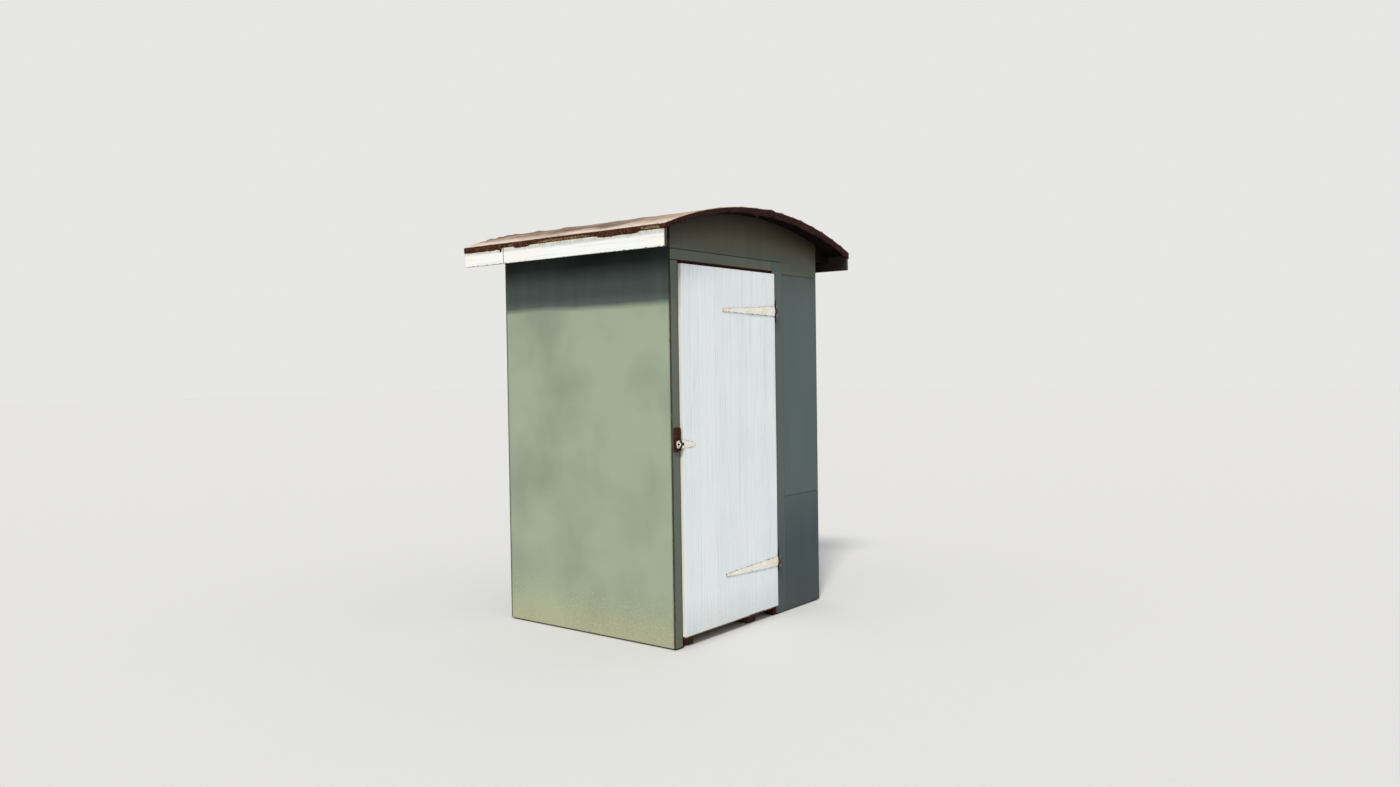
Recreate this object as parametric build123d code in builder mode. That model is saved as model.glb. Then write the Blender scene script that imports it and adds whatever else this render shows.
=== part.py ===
from build123d import *
from math import asin, degrees, radians, sqrt, tan
import os

os.makedirs("parts", exist_ok=True)

# Sizes are in millimetres. X runs to the right of someone who faces the door,
# Y to the back and Z up. The origin is on the ground under the middle of the roof.

# Walls, over the outer faces of their sheets
wall_width = 1400.0
wall_depth = 1220.0
sheet_thickness = 9.0
sheet_ground_gap = 8.0
corner_gap = 2.5
seam_gap = 1.5

# Wall timbers
timber_size = 45.0
stop_post_width = 70.0
timber_arris = 2.0
rail_height = 1000.0

# Floor
bearer_width = 70.0
bearer_height = 40.0
bearer_setback = 20.0
bearer_inset = 45.0
floor_thickness = 18.0
floor_board_count = 8
floor_board_gap = 2.0
notch_clearance = 1.0

# Front panels. The plates stand a little above the seam under the arched panel
header_height = 62.0
plate_rise = 38.0
right_casing_width = 100.0
right_panel_drop = 70.0
right_lower_seam = 676.0

# Roof. Its rise is from the top of the plates to the crown
roof_rise = 216.0
roof_radius = 2531.0
side_overhang = 188.0
end_overhang = 120.0
felt_thickness = 3.7
deck_thickness = 20.0
deck_board_count = 15
deck_board_gap = 2.0
seat_clearance = 0.3
side_fold = 44.0
end_fold = 34.0
rib_thickness = 35.0
rib_crown_depth = 95.0
fascia_thickness = 22.0
fascia_drop = 55.0
fascia_joint_y = 410.0
fascia_joint_gap = 3.0

# Door leaf
door_margin_left = 63.0
door_width = 855.0
door_height = 1900.0
door_ground_gap = 60.0
door_edge_gap = 6.0
door_head_gap = 13.0
door_stop_gap = 5.0
door_head_lap = 15.0
leaf_thickness = 22.0
leaf_board_count = 6
leaf_board_gap = 1.5
tongue_depth = 6.0
tongue_thickness = 6.0
tongue_clearance = 0.5
bead_width = 4.0
bead_depth = 3.0
ledge_height = 100.0
ledge_thickness = 22.0
ledge_post_gap = 8.0
brace_width = 95.0
brace_inset = 25.0

# Strap hinges
hinge_inset_top = 213.0
hinge_inset_bottom = 256.0
strap_length = 510.0
upper_strap_droop = 10.0
strap_root_width = 55.0
strap_tip_width = 22.0
strap_thickness = 4.0
hinge_knuckle_radius = 8.0
hinge_pin_radius = 4.0
hinge_pin_clearance = 0.3
hinge_knuckle_height = 25.0
hinge_knuckle_gap = 1.0
hinge_head_height = 3.0
hinge_plate_height = 130.0
hinge_plate_width = 25.0
hinge_plate_thickness = 4.0

# Hasp and staple
hasp_height = 1046.0
hasp_pin_overhang = 8.0
hasp_plate_length = 107.0
hasp_plate_root = 43.0
hasp_plate_tip = 25.0
hasp_thickness = 3.0
hasp_knuckle_radius = 5.0
hasp_pin_radius = 2.5
hasp_pin_clearance = 0.25
hasp_knuckle_height = 15.0
hasp_knuckle_gap = 0.75
hasp_face_gap = 1.5
leaf_length = 52.0
leaf_width = 38.0
leaf_corner = 14.0
slot_width = 14.0
slot_height = 27.0
slot_corner = 5.0
staple_wire = 5.0
staple_span = 16.0
staple_reach = 14.0
staple_inset = 20.0
block_inset = 6.0
block_width = 46.0
block_height = 119.0
block_thickness = 13.0
block_drop = 36.0
block_arris = 2.0

# Faces of the walls
wall_x = wall_width / 2
inner_x = wall_x - sheet_thickness
wall_y = wall_depth / 2
inner_y = wall_y - sheet_thickness
floor_top = bearer_height + floor_thickness

# Levels, each worked out from the one below it
door_top = door_ground_gap + door_height
header_bottom = door_top + door_head_gap
arch_seam_height = header_bottom + header_height
right_upper_seam = arch_seam_height - right_panel_drop
wall_height = arch_seam_height + plate_rise
plate_bottom = wall_height - timber_size
fascia_bottom = wall_height - fascia_drop
roof_crown = wall_height + roof_rise

# Edges of the door, its posts and its casings
door_left = door_margin_left - wall_x
door_right = door_left + door_width
casing_left_edge = door_left - door_edge_gap
casing_right_edge = door_right + door_edge_gap
stop_lap = stop_post_width - inner_x - door_left
door_post_left = door_right - stop_lap
door_post_right = door_post_left + stop_post_width
leaf_back_y = -inner_y - door_stop_gap
leaf_front_y = leaf_back_y - leaf_thickness

# The roof is part of a cylinder, and its layers share one centre line
roof_centre = roof_crown - roof_radius
roof_edge_x = wall_x + side_overhang
roof_end_y = wall_y + end_overhang
deck_radius = roof_radius - felt_thickness - seat_clearance
deck_angle = 2 * degrees(asin(roof_edge_x / deck_radius))
deck_pitch = deck_angle / deck_board_count
deck_half_pitch = radians(deck_pitch / 2)


def keep(builder, name):
    """Label a finished piece and write it out."""
    builder.part.label = name
    export_step(builder.part, f"parts/{name}.step")


def facing(y):
    """The upright plane at depth y, drawn on from the front."""
    return Plane.XZ.offset(-y)


def roof_height(radius, x):
    """Height of a roof layer of the given radius at x."""
    return roof_centre + sqrt(radius**2 - x**2)


def long_edges(builder, axis):
    """The edges of a timber that run along its length."""
    return builder.edges().filter_by(axis)


def timber(name, x_span, y_span, z_span, axis):
    """A squared length of timber with its long edges eased."""
    with BuildPart() as piece:
        with BuildSketch(Plane.XY.offset(z_span[0])):
            with Locations(((x_span[0] + x_span[1]) / 2, (y_span[0] + y_span[1]) / 2)):
                Rectangle(x_span[1] - x_span[0], y_span[1] - y_span[0])
        extrude(amount=z_span[1] - z_span[0])
        chamfer(long_edges(piece, axis), timber_arris)
    keep(piece, name)


def front_sheet(name, x_span, z_span, y_front):
    """A flat sheet that faces the front or the back, between two heights."""
    with BuildPart() as piece:
        with BuildSketch(facing(y_front + sheet_thickness)):
            with Locations(((x_span[0] + x_span[1]) / 2, (z_span[0] + z_span[1]) / 2)):
                Rectangle(x_span[1] - x_span[0], z_span[1] - z_span[0])
        extrude(amount=sheet_thickness)
    keep(piece, name)


# Floor bearers, which run from front to back and rest on the ground
bearer_length = wall_depth - 2 * bearer_setback
bearer_x = inner_x - timber_size - bearer_inset - bearer_width / 2
for name, x in (("left", -bearer_x), ("middle", 0), ("right", bearer_x)):
    timber(
        f"bearer_{name}",
        (x - bearer_width / 2, x + bearer_width / 2),
        (-bearer_length / 2, bearer_length / 2),
        (0, bearer_height),
        Axis.Y,
    )

# Posts and studs, with the two that the door closes against wider than the others
left_post = (-inner_x, -inner_x + stop_post_width)
left_corner = (-inner_x, -inner_x + timber_size)
right_corner = (inner_x - timber_size, inner_x)
front_span = (-inner_y, -inner_y + timber_size)
rear_span = (inner_y - timber_size, inner_y)
posts = {
    "post_front_left": (left_post, front_span),
    "post_front_right": (right_corner, front_span),
    "post_rear_left": (left_corner, rear_span),
    "post_rear_right": (right_corner, rear_span),
    "door_post": ((door_post_left, door_post_right), front_span),
}
for name, (x_span, y_span) in posts.items():
    timber(name, x_span, y_span, (0, plate_bottom), Axis.Z)
rear_stud = (-timber_size / 2, timber_size / 2)
timber("rear_stud", rear_stud, rear_span, (floor_top, plate_bottom), Axis.Z)

# Wall plates on the posts, and the rail over the doorway
side_length = (-inner_y, inner_y)
plate_levels = (plate_bottom, wall_height)
timber("plate_left", left_corner, side_length, plate_levels, Axis.Y)
timber("plate_right", right_corner, side_length, plate_levels, Axis.Y)
between_plates = (left_corner[1], right_corner[0])
timber("plate_front", between_plates, front_span, plate_levels, Axis.X)
timber("plate_rear", between_plates, rear_span, plate_levels, Axis.X)
head_levels = (door_top - door_head_lap, plate_bottom)
timber("door_head", (left_post[1], door_post_left), front_span, head_levels, Axis.X)

# Rails between the posts, halfway up the sides and behind the low seam at the front
rail_levels = (rail_height, rail_height + timber_size)
between_posts = (front_span[1], rear_span[0])
timber("rail_left", left_corner, between_posts, rail_levels, Axis.Y)
timber("rail_right", right_corner, between_posts, rail_levels, Axis.Y)
seam_levels = (right_lower_seam - timber_size / 2, right_lower_seam + timber_size / 2)
timber("rail_front", (door_post_right, right_corner[0]), front_span, seam_levels, Axis.X)

# Floor boards, which run from side to side and are notched round the posts
floor_depth = 2 * inner_y - 2 * notch_clearance
floor_pitch = floor_depth / floor_board_count
with BuildPart() as floor_boards:
    with BuildSketch(Plane.XY.offset(bearer_height)):
        with GridLocations(0, floor_pitch, 1, floor_board_count):
            Rectangle(2 * inner_x - 2 * notch_clearance, floor_pitch - floor_board_gap)
        for x_span, y_span in posts.values():
            with Locations(((x_span[0] + x_span[1]) / 2, (y_span[0] + y_span[1]) / 2)):
                Rectangle(
                    x_span[1] - x_span[0] + 2 * notch_clearance,
                    y_span[1] - y_span[0] + 2 * notch_clearance,
                    mode=Mode.SUBTRACT,
                )
    extrude(amount=floor_thickness)
keep(floor_boards, "floor_boards")

# Side walls, each one whole sheet
for name, x in (("left", -wall_x), ("right", inner_x)):
    with BuildPart() as side_sheet:
        with BuildSketch(Plane.YZ.offset(x)):
            front_edge = corner_gap - inner_y
            with Locations(((front_edge + inner_y) / 2, (sheet_ground_gap + wall_height) / 2)):
                Rectangle(inner_y - front_edge, wall_height - sheet_ground_gap)
        extrude(amount=sheet_thickness)
    keep(side_sheet, f"wall_sheet_{name}")

# Back wall, two sheets that meet on the stud
with BuildPart() as rear_sheets:
    rear_top = arch_seam_height - seam_gap
    with BuildSketch(facing(wall_y)):
        with Locations((0, (sheet_ground_gap + rear_top) / 2)):
            with GridLocations(wall_width / 2, 0, 2, 1):
                Rectangle(wall_width / 2 - seam_gap, rear_top - sheet_ground_gap)
    extrude(amount=sheet_thickness)
keep(rear_sheets, "wall_sheets_rear")

# Front casings, the strip over the door and the two flat panels at the right
panel_left = casing_right_edge + right_casing_width + seam_gap
front_sheet(
    "casing_left",
    (-wall_x, casing_left_edge),
    (sheet_ground_gap, header_bottom - seam_gap),
    -wall_y,
)
front_sheet(
    "casing_right",
    (casing_right_edge, casing_right_edge + right_casing_width),
    (sheet_ground_gap, arch_seam_height - seam_gap),
    -wall_y,
)
front_sheet(
    "front_header",
    (-wall_x, casing_right_edge - seam_gap),
    (header_bottom, arch_seam_height - seam_gap),
    -wall_y,
)
front_sheet(
    "front_panel",
    (panel_left, wall_x),
    (right_lower_seam, right_upper_seam - seam_gap),
    -wall_y,
)
front_sheet(
    "front_panel_low",
    (panel_left, wall_x),
    (sheet_ground_gap, right_lower_seam - seam_gap),
    -wall_y,
)

# Arched panels under the two ends of the roof, the front one deeper at the right
rib_radius = deck_radius - deck_thickness - seat_clearance
panel_top = roof_height(rib_radius, wall_x)
rib_crown = roof_centre + rib_radius
with BuildPart() as arch_front:
    with BuildSketch(facing(-inner_y)):
        with BuildLine():
            ThreePointArc((-wall_x, panel_top), (0, rib_crown), (wall_x, panel_top))
            Polyline(
                (wall_x, panel_top),
                (wall_x, right_upper_seam),
                (panel_left, right_upper_seam),
                (panel_left, arch_seam_height),
                (-wall_x, arch_seam_height),
                (-wall_x, panel_top),
            )
        make_face()
    extrude(amount=sheet_thickness)
keep(arch_front, "arch_panel_front")
with BuildPart() as arch_rear:
    with BuildSketch(facing(wall_y)):
        with BuildLine():
            ThreePointArc((-wall_x, panel_top), (0, rib_crown), (wall_x, panel_top))
            Polyline(
                (wall_x, panel_top),
                (wall_x, arch_seam_height),
                (-wall_x, arch_seam_height),
                (-wall_x, panel_top),
            )
        make_face()
    extrude(amount=sheet_thickness)
keep(arch_rear, "arch_panel_rear")

# Roof ribs, which sit on the plates and run out to the fascias
tail_x = roof_edge_x - fascia_thickness
tail_top = roof_height(rib_radius, tail_x)
rib_inner_x = between_plates[1]
rib_places = {
    "front": -inner_y + rib_thickness,
    "middle": rib_thickness / 2,
    "rear": inner_y,
}
for name, rib_back in rib_places.items():
    with BuildPart() as rib:
        with BuildSketch(facing(rib_back)):
            with BuildLine():
                ThreePointArc((-tail_x, tail_top), (0, rib_crown), (tail_x, tail_top))
                Polyline((tail_x, tail_top), (tail_x, wall_height), (rib_inner_x, wall_height))
                ThreePointArc(
                    (rib_inner_x, wall_height),
                    (0, rib_crown - rib_crown_depth),
                    (-rib_inner_x, wall_height),
                )
                Polyline((-rib_inner_x, wall_height), (-tail_x, wall_height), (-tail_x, tail_top))
            make_face()
        extrude(amount=rib_thickness)
    keep(rib, f"rib_{name}")

# Fascia boards along the eaves, the left one in two lengths
fascia_top_inner = roof_height(rib_radius, tail_x)
fascia_top_outer = roof_height(rib_radius, roof_edge_x)
fascia_runs = {
    "fascia_left": (-1, ((-roof_end_y, fascia_joint_y), (fascia_joint_y + fascia_joint_gap, roof_end_y))),
    "fascia_right": (1, ((-roof_end_y, roof_end_y),)),
}
for name, (side, runs) in fascia_runs.items():
    with BuildPart() as fascia:
        for run_front, run_back in runs:
            with BuildSketch(facing(run_back)):
                with BuildLine():
                    Polyline(
                        (side * tail_x, fascia_bottom),
                        (side * roof_edge_x, fascia_bottom),
                        (side * roof_edge_x, fascia_top_outer),
                        (side * tail_x, fascia_top_inner),
                        close=True,
                    )
                make_face()
            extrude(amount=run_back - run_front)
    keep(fascia, name)

# Roof boards, laid from end to end over the ribs
board_middle = deck_radius - deck_thickness / 2
board_width = 2 * (deck_radius - deck_thickness) * tan(deck_half_pitch) - deck_board_gap
with BuildPart() as roof_boards:
    with BuildSketch(facing(roof_end_y)):
        with Locations((0, roof_centre)):
            first_angle = 90 - deck_angle / 2 + deck_pitch / 2
            with PolarLocations(board_middle, deck_board_count, first_angle, deck_angle):
                Rectangle(deck_thickness, board_width)
    extrude(amount=2 * roof_end_y)
keep(roof_boards, "roof_boards")


def roof_section(radius, half_width, bottom):
    """The section under a roof layer down to a level line."""
    top = roof_height(radius, half_width)
    with BuildSketch() as section:
        with BuildLine():
            ThreePointArc((-half_width, top), (0, roof_centre + radius), (half_width, top))
            Polyline((half_width, top), (half_width, bottom), (-half_width, bottom), (-half_width, top))
        make_face()
    return section.sketch


# Roof felt, one sheet folded down over the fascias and the ends of the boards
felt_inner_x = roof_edge_x + seat_clearance
felt_outer_x = felt_inner_x + felt_thickness
felt_inner_y = roof_end_y + seat_clearance
felt_outer_y = felt_inner_y + felt_thickness
felt_corner_radius = sqrt(deck_radius**2 + (board_width / 2) ** 2) + seat_clearance
felt_bottom = roof_height(roof_radius, felt_outer_x) - side_fold
with BuildPart() as roof_felt:
    with BuildSketch(facing(felt_outer_y)):
        add(roof_section(roof_radius, felt_outer_x, felt_bottom))
    extrude(amount=2 * felt_outer_y)
    with BuildSketch(facing(felt_inner_y)):
        add(roof_section(felt_corner_radius, felt_inner_x, felt_bottom))
    extrude(amount=2 * felt_inner_y, mode=Mode.SUBTRACT)
    with BuildSketch(facing(felt_outer_y)):
        add(roof_section(roof_radius - end_fold, felt_inner_x, felt_bottom))
    extrude(amount=2 * felt_outer_y, mode=Mode.SUBTRACT)
keep(roof_felt, "roof_felt")

# Door boards, tongued together, each with a bead line down its middle and eased at its joints
door_middle = (door_left + door_right) / 2
leaf_middle_y = (leaf_front_y + leaf_back_y) / 2
leaf_pitch = (door_width + leaf_board_gap) / leaf_board_count
groove_depth = tongue_depth - leaf_board_gap + tongue_clearance
with BuildPart() as door_boards:
    with BuildSketch(Plane.XY.offset(door_ground_gap)):
        with Locations((door_middle, leaf_middle_y)):
            with GridLocations(leaf_pitch, 0, leaf_board_count, 1):
                Rectangle(leaf_pitch - leaf_board_gap, leaf_thickness)
            with GridLocations(leaf_pitch, 0, leaf_board_count - 1, 1):
                with Locations(((leaf_board_gap + groove_depth) / 2, 0)):
                    Rectangle(groove_depth, tongue_thickness + 2 * tongue_clearance, mode=Mode.SUBTRACT)
                with Locations(((tongue_depth - leaf_board_gap) / 2, 0)):
                    Rectangle(tongue_depth, tongue_thickness)
        with Locations((door_middle, leaf_front_y)):
            with GridLocations(leaf_pitch / 2, 0, 2 * leaf_board_count - 1, 1):
                Polygon(
                    (-bead_width / 2, 0),
                    (0, bead_depth),
                    (bead_width / 2, 0),
                    (0, -bead_depth),
                    align=None,
                    mode=Mode.SUBTRACT,
                )
    extrude(amount=door_height)
keep(door_boards, "door_boards")

# Ledges across the back of the door, level with its hinges, and the brace between them
ledge_left = left_post[1] + ledge_post_gap
ledge_right = door_post_left - ledge_post_gap
ledge_back_y = leaf_back_y + ledge_thickness
hinge_heights = {
    "lower": door_ground_gap + hinge_inset_bottom,
    "upper": door_top - hinge_inset_top,
}
for name, height in hinge_heights.items():
    timber(
        f"door_ledge_{name}",
        (ledge_left, ledge_right),
        (leaf_back_y, ledge_back_y),
        (height - ledge_height / 2, height + ledge_height / 2),
        Axis.X,
    )
brace_foot = hinge_heights["lower"] + ledge_height / 2
brace_head = hinge_heights["upper"] - ledge_height / 2
with BuildPart() as door_brace:
    with BuildSketch(facing(ledge_back_y)):
        with BuildLine():
            Polyline(
                (ledge_right - brace_inset - brace_width, brace_foot),
                (ledge_right - brace_inset, brace_foot),
                (ledge_left + brace_inset + brace_width, brace_head),
                (ledge_left + brace_inset, brace_head),
                close=True,
            )
        make_face()
    extrude(amount=ledge_thickness)
keep(door_brace, "door_brace")

# Strap hinges. The pin stands in front of the gap at the door's right edge, and the upper
# strap is set a little askew, with its tip low
strap_droops = {"lower": 0.0, "upper": upper_strap_droop}
hinge_x = casing_right_edge
hinge_y = leaf_front_y - hinge_knuckle_radius
strap_root_x = hinge_x - hinge_knuckle_radius - 2 * hinge_knuckle_gap
strap_tip_x = hinge_x - strap_length + strap_tip_width / 2
barrel_height = 3 * hinge_knuckle_height + 2 * hinge_knuckle_gap
strap_slot_height = hinge_knuckle_height + 2 * hinge_knuckle_gap
for name, height in hinge_heights.items():
    with BuildPart() as strap:
        with BuildSketch(facing(leaf_front_y)):
            with Locations((strap_root_x - strap_tip_width / 2, height)):
                Rectangle(strap_tip_width, strap_root_width)
            with Locations((strap_tip_x, height - strap_droops[name])):
                Circle(strap_tip_width / 2)
            make_hull()
        extrude(amount=strap_thickness)
        with BuildSketch(Plane.XY.offset(height - hinge_knuckle_height / 2)):
            with Locations((hinge_x, hinge_y)):
                Circle(hinge_knuckle_radius)
            with Locations(((strap_root_x + hinge_x) / 2, leaf_front_y - strap_thickness / 2)):
                Rectangle(hinge_x - strap_root_x, strap_thickness)
            with Locations((hinge_x, hinge_y)):
                Circle(hinge_pin_radius + hinge_pin_clearance, mode=Mode.SUBTRACT)
        extrude(amount=hinge_knuckle_height)
    keep(strap, f"strap_{name}")

    with BuildPart() as hinge_plate:
        plate_left_x = hinge_x + hinge_knuckle_radius - hinge_plate_thickness
        with BuildSketch(facing(-wall_y)):
            with Locations((plate_left_x + hinge_plate_width / 2, height)):
                Rectangle(hinge_plate_width, hinge_plate_height)
        extrude(amount=hinge_plate_thickness)
        with BuildSketch(Plane.XY.offset(height - barrel_height / 2)):
            with Locations((hinge_x, hinge_y)):
                Circle(hinge_knuckle_radius)
            web_x = plate_left_x + hinge_plate_thickness / 2
            with Locations((web_x, (hinge_y - wall_y) / 2)):
                Rectangle(hinge_plate_thickness, -wall_y - hinge_y)
        extrude(amount=barrel_height)
        with BuildSketch(Plane.XY.offset(height - strap_slot_height / 2)):
            slot_depth = hinge_knuckle_radius + 2 * hinge_knuckle_gap
            with Locations((hinge_x, hinge_y)):
                Rectangle(4 * hinge_knuckle_radius, 2 * slot_depth)
        extrude(amount=strap_slot_height, mode=Mode.SUBTRACT)
        with BuildSketch(Plane.XY.offset(height - barrel_height / 2 - hinge_head_height)):
            with Locations((hinge_x, hinge_y)):
                Circle(hinge_pin_radius)
        extrude(amount=barrel_height + 2 * hinge_head_height)
    keep(hinge_plate, f"hinge_plate_{name}")

# Hasp plate on the door, with its pin just past the door's left edge
hasp_x = door_left - hasp_pin_overhang
hasp_y = leaf_front_y - hasp_knuckle_radius
hasp_root_gap = hasp_knuckle_radius + 2 * hasp_knuckle_gap
hasp_slot_height = hasp_knuckle_height + 2 * hasp_knuckle_gap
hasp_tip_x = hasp_x + hasp_plate_length - hasp_plate_tip / 2
with BuildPart() as hasp_plate:
    with BuildSketch(facing(leaf_front_y)):
        with Locations((hasp_x + hasp_root_gap + hasp_knuckle_radius, hasp_height)):
            Rectangle(2 * hasp_knuckle_radius, hasp_plate_root)
        with Locations((hasp_tip_x, hasp_height)):
            Circle(hasp_plate_tip / 2)
        make_hull()
    extrude(amount=hasp_thickness)
    with BuildSketch(Plane.XY.offset(hasp_height - hasp_plate_root / 2)):
        with Locations((hasp_x, hasp_y)):
            Circle(hasp_knuckle_radius)
        with Locations((hasp_x + hasp_root_gap / 2, leaf_front_y - hasp_thickness / 2)):
            Rectangle(hasp_root_gap, hasp_thickness)
    extrude(amount=hasp_plate_root)
    with BuildSketch(Plane.XY.offset(hasp_height - hasp_slot_height / 2)):
        with Locations((hasp_x, hasp_y)):
            Circle(hasp_root_gap)
    extrude(amount=hasp_slot_height, mode=Mode.SUBTRACT)
    with BuildSketch(Plane.XY.offset(hasp_height - hasp_plate_root / 2)):
        with Locations((hasp_x, hasp_y)):
            Circle(hasp_pin_radius)
    extrude(amount=hasp_plate_root)
keep(hasp_plate, "hasp_plate")

# Slotted hasp leaf, which swings on the plate's pin and drops over the staple
hasp_back_y = leaf_front_y - hasp_face_gap
staple_x = -wall_x + staple_inset
leaf_left = hasp_x - leaf_length
with BuildPart() as hasp_leaf:
    with BuildSketch(facing(hasp_back_y)):
        leaf_root = hasp_x - hasp_root_gap
        with Locations((leaf_root - leaf_corner / 2, hasp_height)):
            Rectangle(leaf_corner, leaf_width)
        with Locations((leaf_left + leaf_corner, hasp_height)):
            with GridLocations(0, leaf_width - 2 * leaf_corner, 1, 2):
                Circle(leaf_corner)
        make_hull()
        with Locations((staple_x, hasp_height)):
            RectangleRounded(slot_width, slot_height, slot_corner, mode=Mode.SUBTRACT)
    extrude(amount=hasp_thickness)
    with BuildSketch(Plane.XY.offset(hasp_height - hasp_knuckle_height / 2)):
        with Locations((hasp_x, hasp_y)):
            Circle(hasp_knuckle_radius)
        with Locations((hasp_x - hasp_root_gap / 2, hasp_back_y - hasp_thickness / 2)):
            Rectangle(hasp_root_gap, hasp_thickness)
        with Locations((hasp_x, hasp_y)):
            Circle(hasp_pin_radius + hasp_pin_clearance, mode=Mode.SUBTRACT)
    extrude(amount=hasp_knuckle_height)
keep(hasp_leaf, "hasp_leaf")

# Wooden block on the left casing, and the wire staple that stands out of it
block_x = -wall_x + block_inset + block_width / 2
block_front_y = -wall_y - block_thickness
with BuildPart() as staple_block:
    with BuildSketch(facing(-wall_y)):
        with Locations((block_x, hasp_height - block_drop + block_height / 2)):
            Rectangle(block_width, block_height)
    extrude(amount=block_thickness)
    chamfer(staple_block.faces().sort_by(Axis.Y)[0].edges(), block_arris)
keep(staple_block, "staple_block")
staple_bend = staple_span / 2
staple_end_y = hasp_back_y - hasp_thickness - staple_reach + staple_wire / 2
with BuildPart() as staple:
    with BuildLine(Plane.YZ.offset(staple_x)) as staple_path:
        bend_y = staple_end_y + staple_bend
        Line((block_front_y, hasp_height + staple_bend), (bend_y, hasp_height + staple_bend))
        ThreePointArc(
            (bend_y, hasp_height + staple_bend),
            (staple_end_y, hasp_height),
            (bend_y, hasp_height - staple_bend),
        )
        Line((bend_y, hasp_height - staple_bend), (block_front_y, hasp_height - staple_bend))
    with BuildSketch(facing(block_front_y)):
        with Locations((staple_x, hasp_height + staple_bend)):
            Circle(staple_wire / 2)
    sweep(path=staple_path.wires()[0])
keep(staple, "staple")
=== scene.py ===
from functools import partial
from math import cos, pi, radians, sin

import bmesh
import bpy
import numpy as np
from mathutils import Matrix, Vector


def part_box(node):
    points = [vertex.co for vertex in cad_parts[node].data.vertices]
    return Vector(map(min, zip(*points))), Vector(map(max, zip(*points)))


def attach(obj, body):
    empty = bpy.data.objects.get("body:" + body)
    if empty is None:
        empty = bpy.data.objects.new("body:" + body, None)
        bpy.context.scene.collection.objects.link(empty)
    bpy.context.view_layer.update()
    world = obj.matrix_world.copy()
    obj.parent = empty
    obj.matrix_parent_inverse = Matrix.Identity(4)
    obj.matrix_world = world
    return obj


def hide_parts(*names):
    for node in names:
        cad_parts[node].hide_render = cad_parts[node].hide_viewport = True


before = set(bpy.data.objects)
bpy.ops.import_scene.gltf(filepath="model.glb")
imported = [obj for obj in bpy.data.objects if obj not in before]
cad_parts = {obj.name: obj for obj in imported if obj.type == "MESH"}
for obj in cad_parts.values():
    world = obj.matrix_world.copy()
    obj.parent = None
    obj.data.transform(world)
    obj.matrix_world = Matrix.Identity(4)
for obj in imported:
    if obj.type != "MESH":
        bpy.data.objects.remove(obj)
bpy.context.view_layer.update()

# Units and places. Lengths are in metres, and sizes written in millimetres are times MM.
MM = 0.001
X = np.array((1.0, 0.0, 0.0))
Y = np.array((0.0, 1.0, 0.0))
Z = np.array((0.0, 0.0, 1.0))


def span(name):
    """Lowest and highest corners of a CAD node, as arrays."""
    low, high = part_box(name)
    return np.array(low), np.array(high)


# Faces and levels of the shed, read from its nodes
left_low, left_high = span("wall_sheet_left")
right_low, right_high = span("wall_sheet_right")
rear_low, rear_high = span("wall_sheets_rear")
casing_low, casing_high = span("casing_left")
HINGE_X = span("casing_right")[0][0]
header_low, header_high = span("front_header")
panel_low, panel_high = span("front_panel")
low_panel_low, low_panel_high = span("front_panel_low")
arch_low, arch_high = span("arch_panel_front")
rear_arch_low, rear_arch_high = span("arch_panel_rear")
door_low, door_high = span("door_boards")
deck_low, deck_high = span("roof_boards")
block_low, block_high = span("staple_block")
EAVE_X, END_Y, CROWN_Z = span("roof_felt")[1]
SHEET = left_high[0] - left_low[0]
FRONT_Y = casing_low[1]
FELT = 3.7 * MM
ROOF_RADIUS = 2531 * MM
ROOF_CENTRE = CROWN_Z - ROOF_RADIUS


# Numbers that vary smoothly or raggedly, the same on every run
def waves(across, along, length, seed, octaves=4):
    """Sum of plane waves in scattered directions, each octave half as long and half as high: about -1 to 1."""
    chance = np.random.default_rng(seed)
    total = np.zeros(np.broadcast(across, along).shape)
    for octave in range(octaves):
        for _ in range(3):
            angle, phase = chance.uniform(0, 2 * pi, 2)
            turn = 2 * pi * 2**octave / (length * chance.uniform(0.8, 1.3))
            path = across * cos(angle) + along * sin(angle)
            total = total + np.sin(path * turn + phase) / 2**octave
    return total / 3.5


def ragged(along, step, seed):
    """Straight lines between scattered heights from -1 to 1, one every step or so: a torn outline."""
    chance = np.random.default_rng(seed)
    start, end = along.min() - step, along.max() + step
    knots = np.arange(start, end + step, step)
    knots = knots + chance.uniform(-0.35, 0.35, len(knots)) * step
    return np.interp(along, knots, chance.uniform(-1, 1, len(knots)))


def spaced(length, step, rim=(1.2, 3.0, 6.0, 12.0, 25.0)):
    """Places from 0 to length, step apart, with closer ones near both ends."""
    near = np.array([0.0, *rim]) * MM
    near = near[near < length / 2 - 0.5 * MM]
    inner = np.linspace(near[-1], length - near[-1], max(2, int(round(length / step)) + 1))
    return np.concatenate((near[:-1], inner, length - near[-2::-1]))


# Meshes from grids of points
SAME_POINT = 1e-6
# edges sharper than this, in degrees, are eased
EASED_FROM = 40


def coordinates(*values):
    """Numbers and arrays side by side: the last axis of the result counts them."""
    return np.stack(np.broadcast_arrays(*values), axis=-1)


def numbered(rows, columns):
    """A grid of point numbers."""
    return np.arange(rows * columns).reshape(rows, columns)


def closed(index):
    """A grid of point numbers that ends with its first column again."""
    return np.append(index, index[:, :1], axis=1)


def grid_faces(index):
    """Four-cornered faces between the neighbours of a grid of point numbers."""
    corners = (index[:-1, :-1], index[1:, :-1], index[1:, 1:], index[:-1, 1:])
    return coordinates(*corners).reshape(-1, 4)


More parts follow.
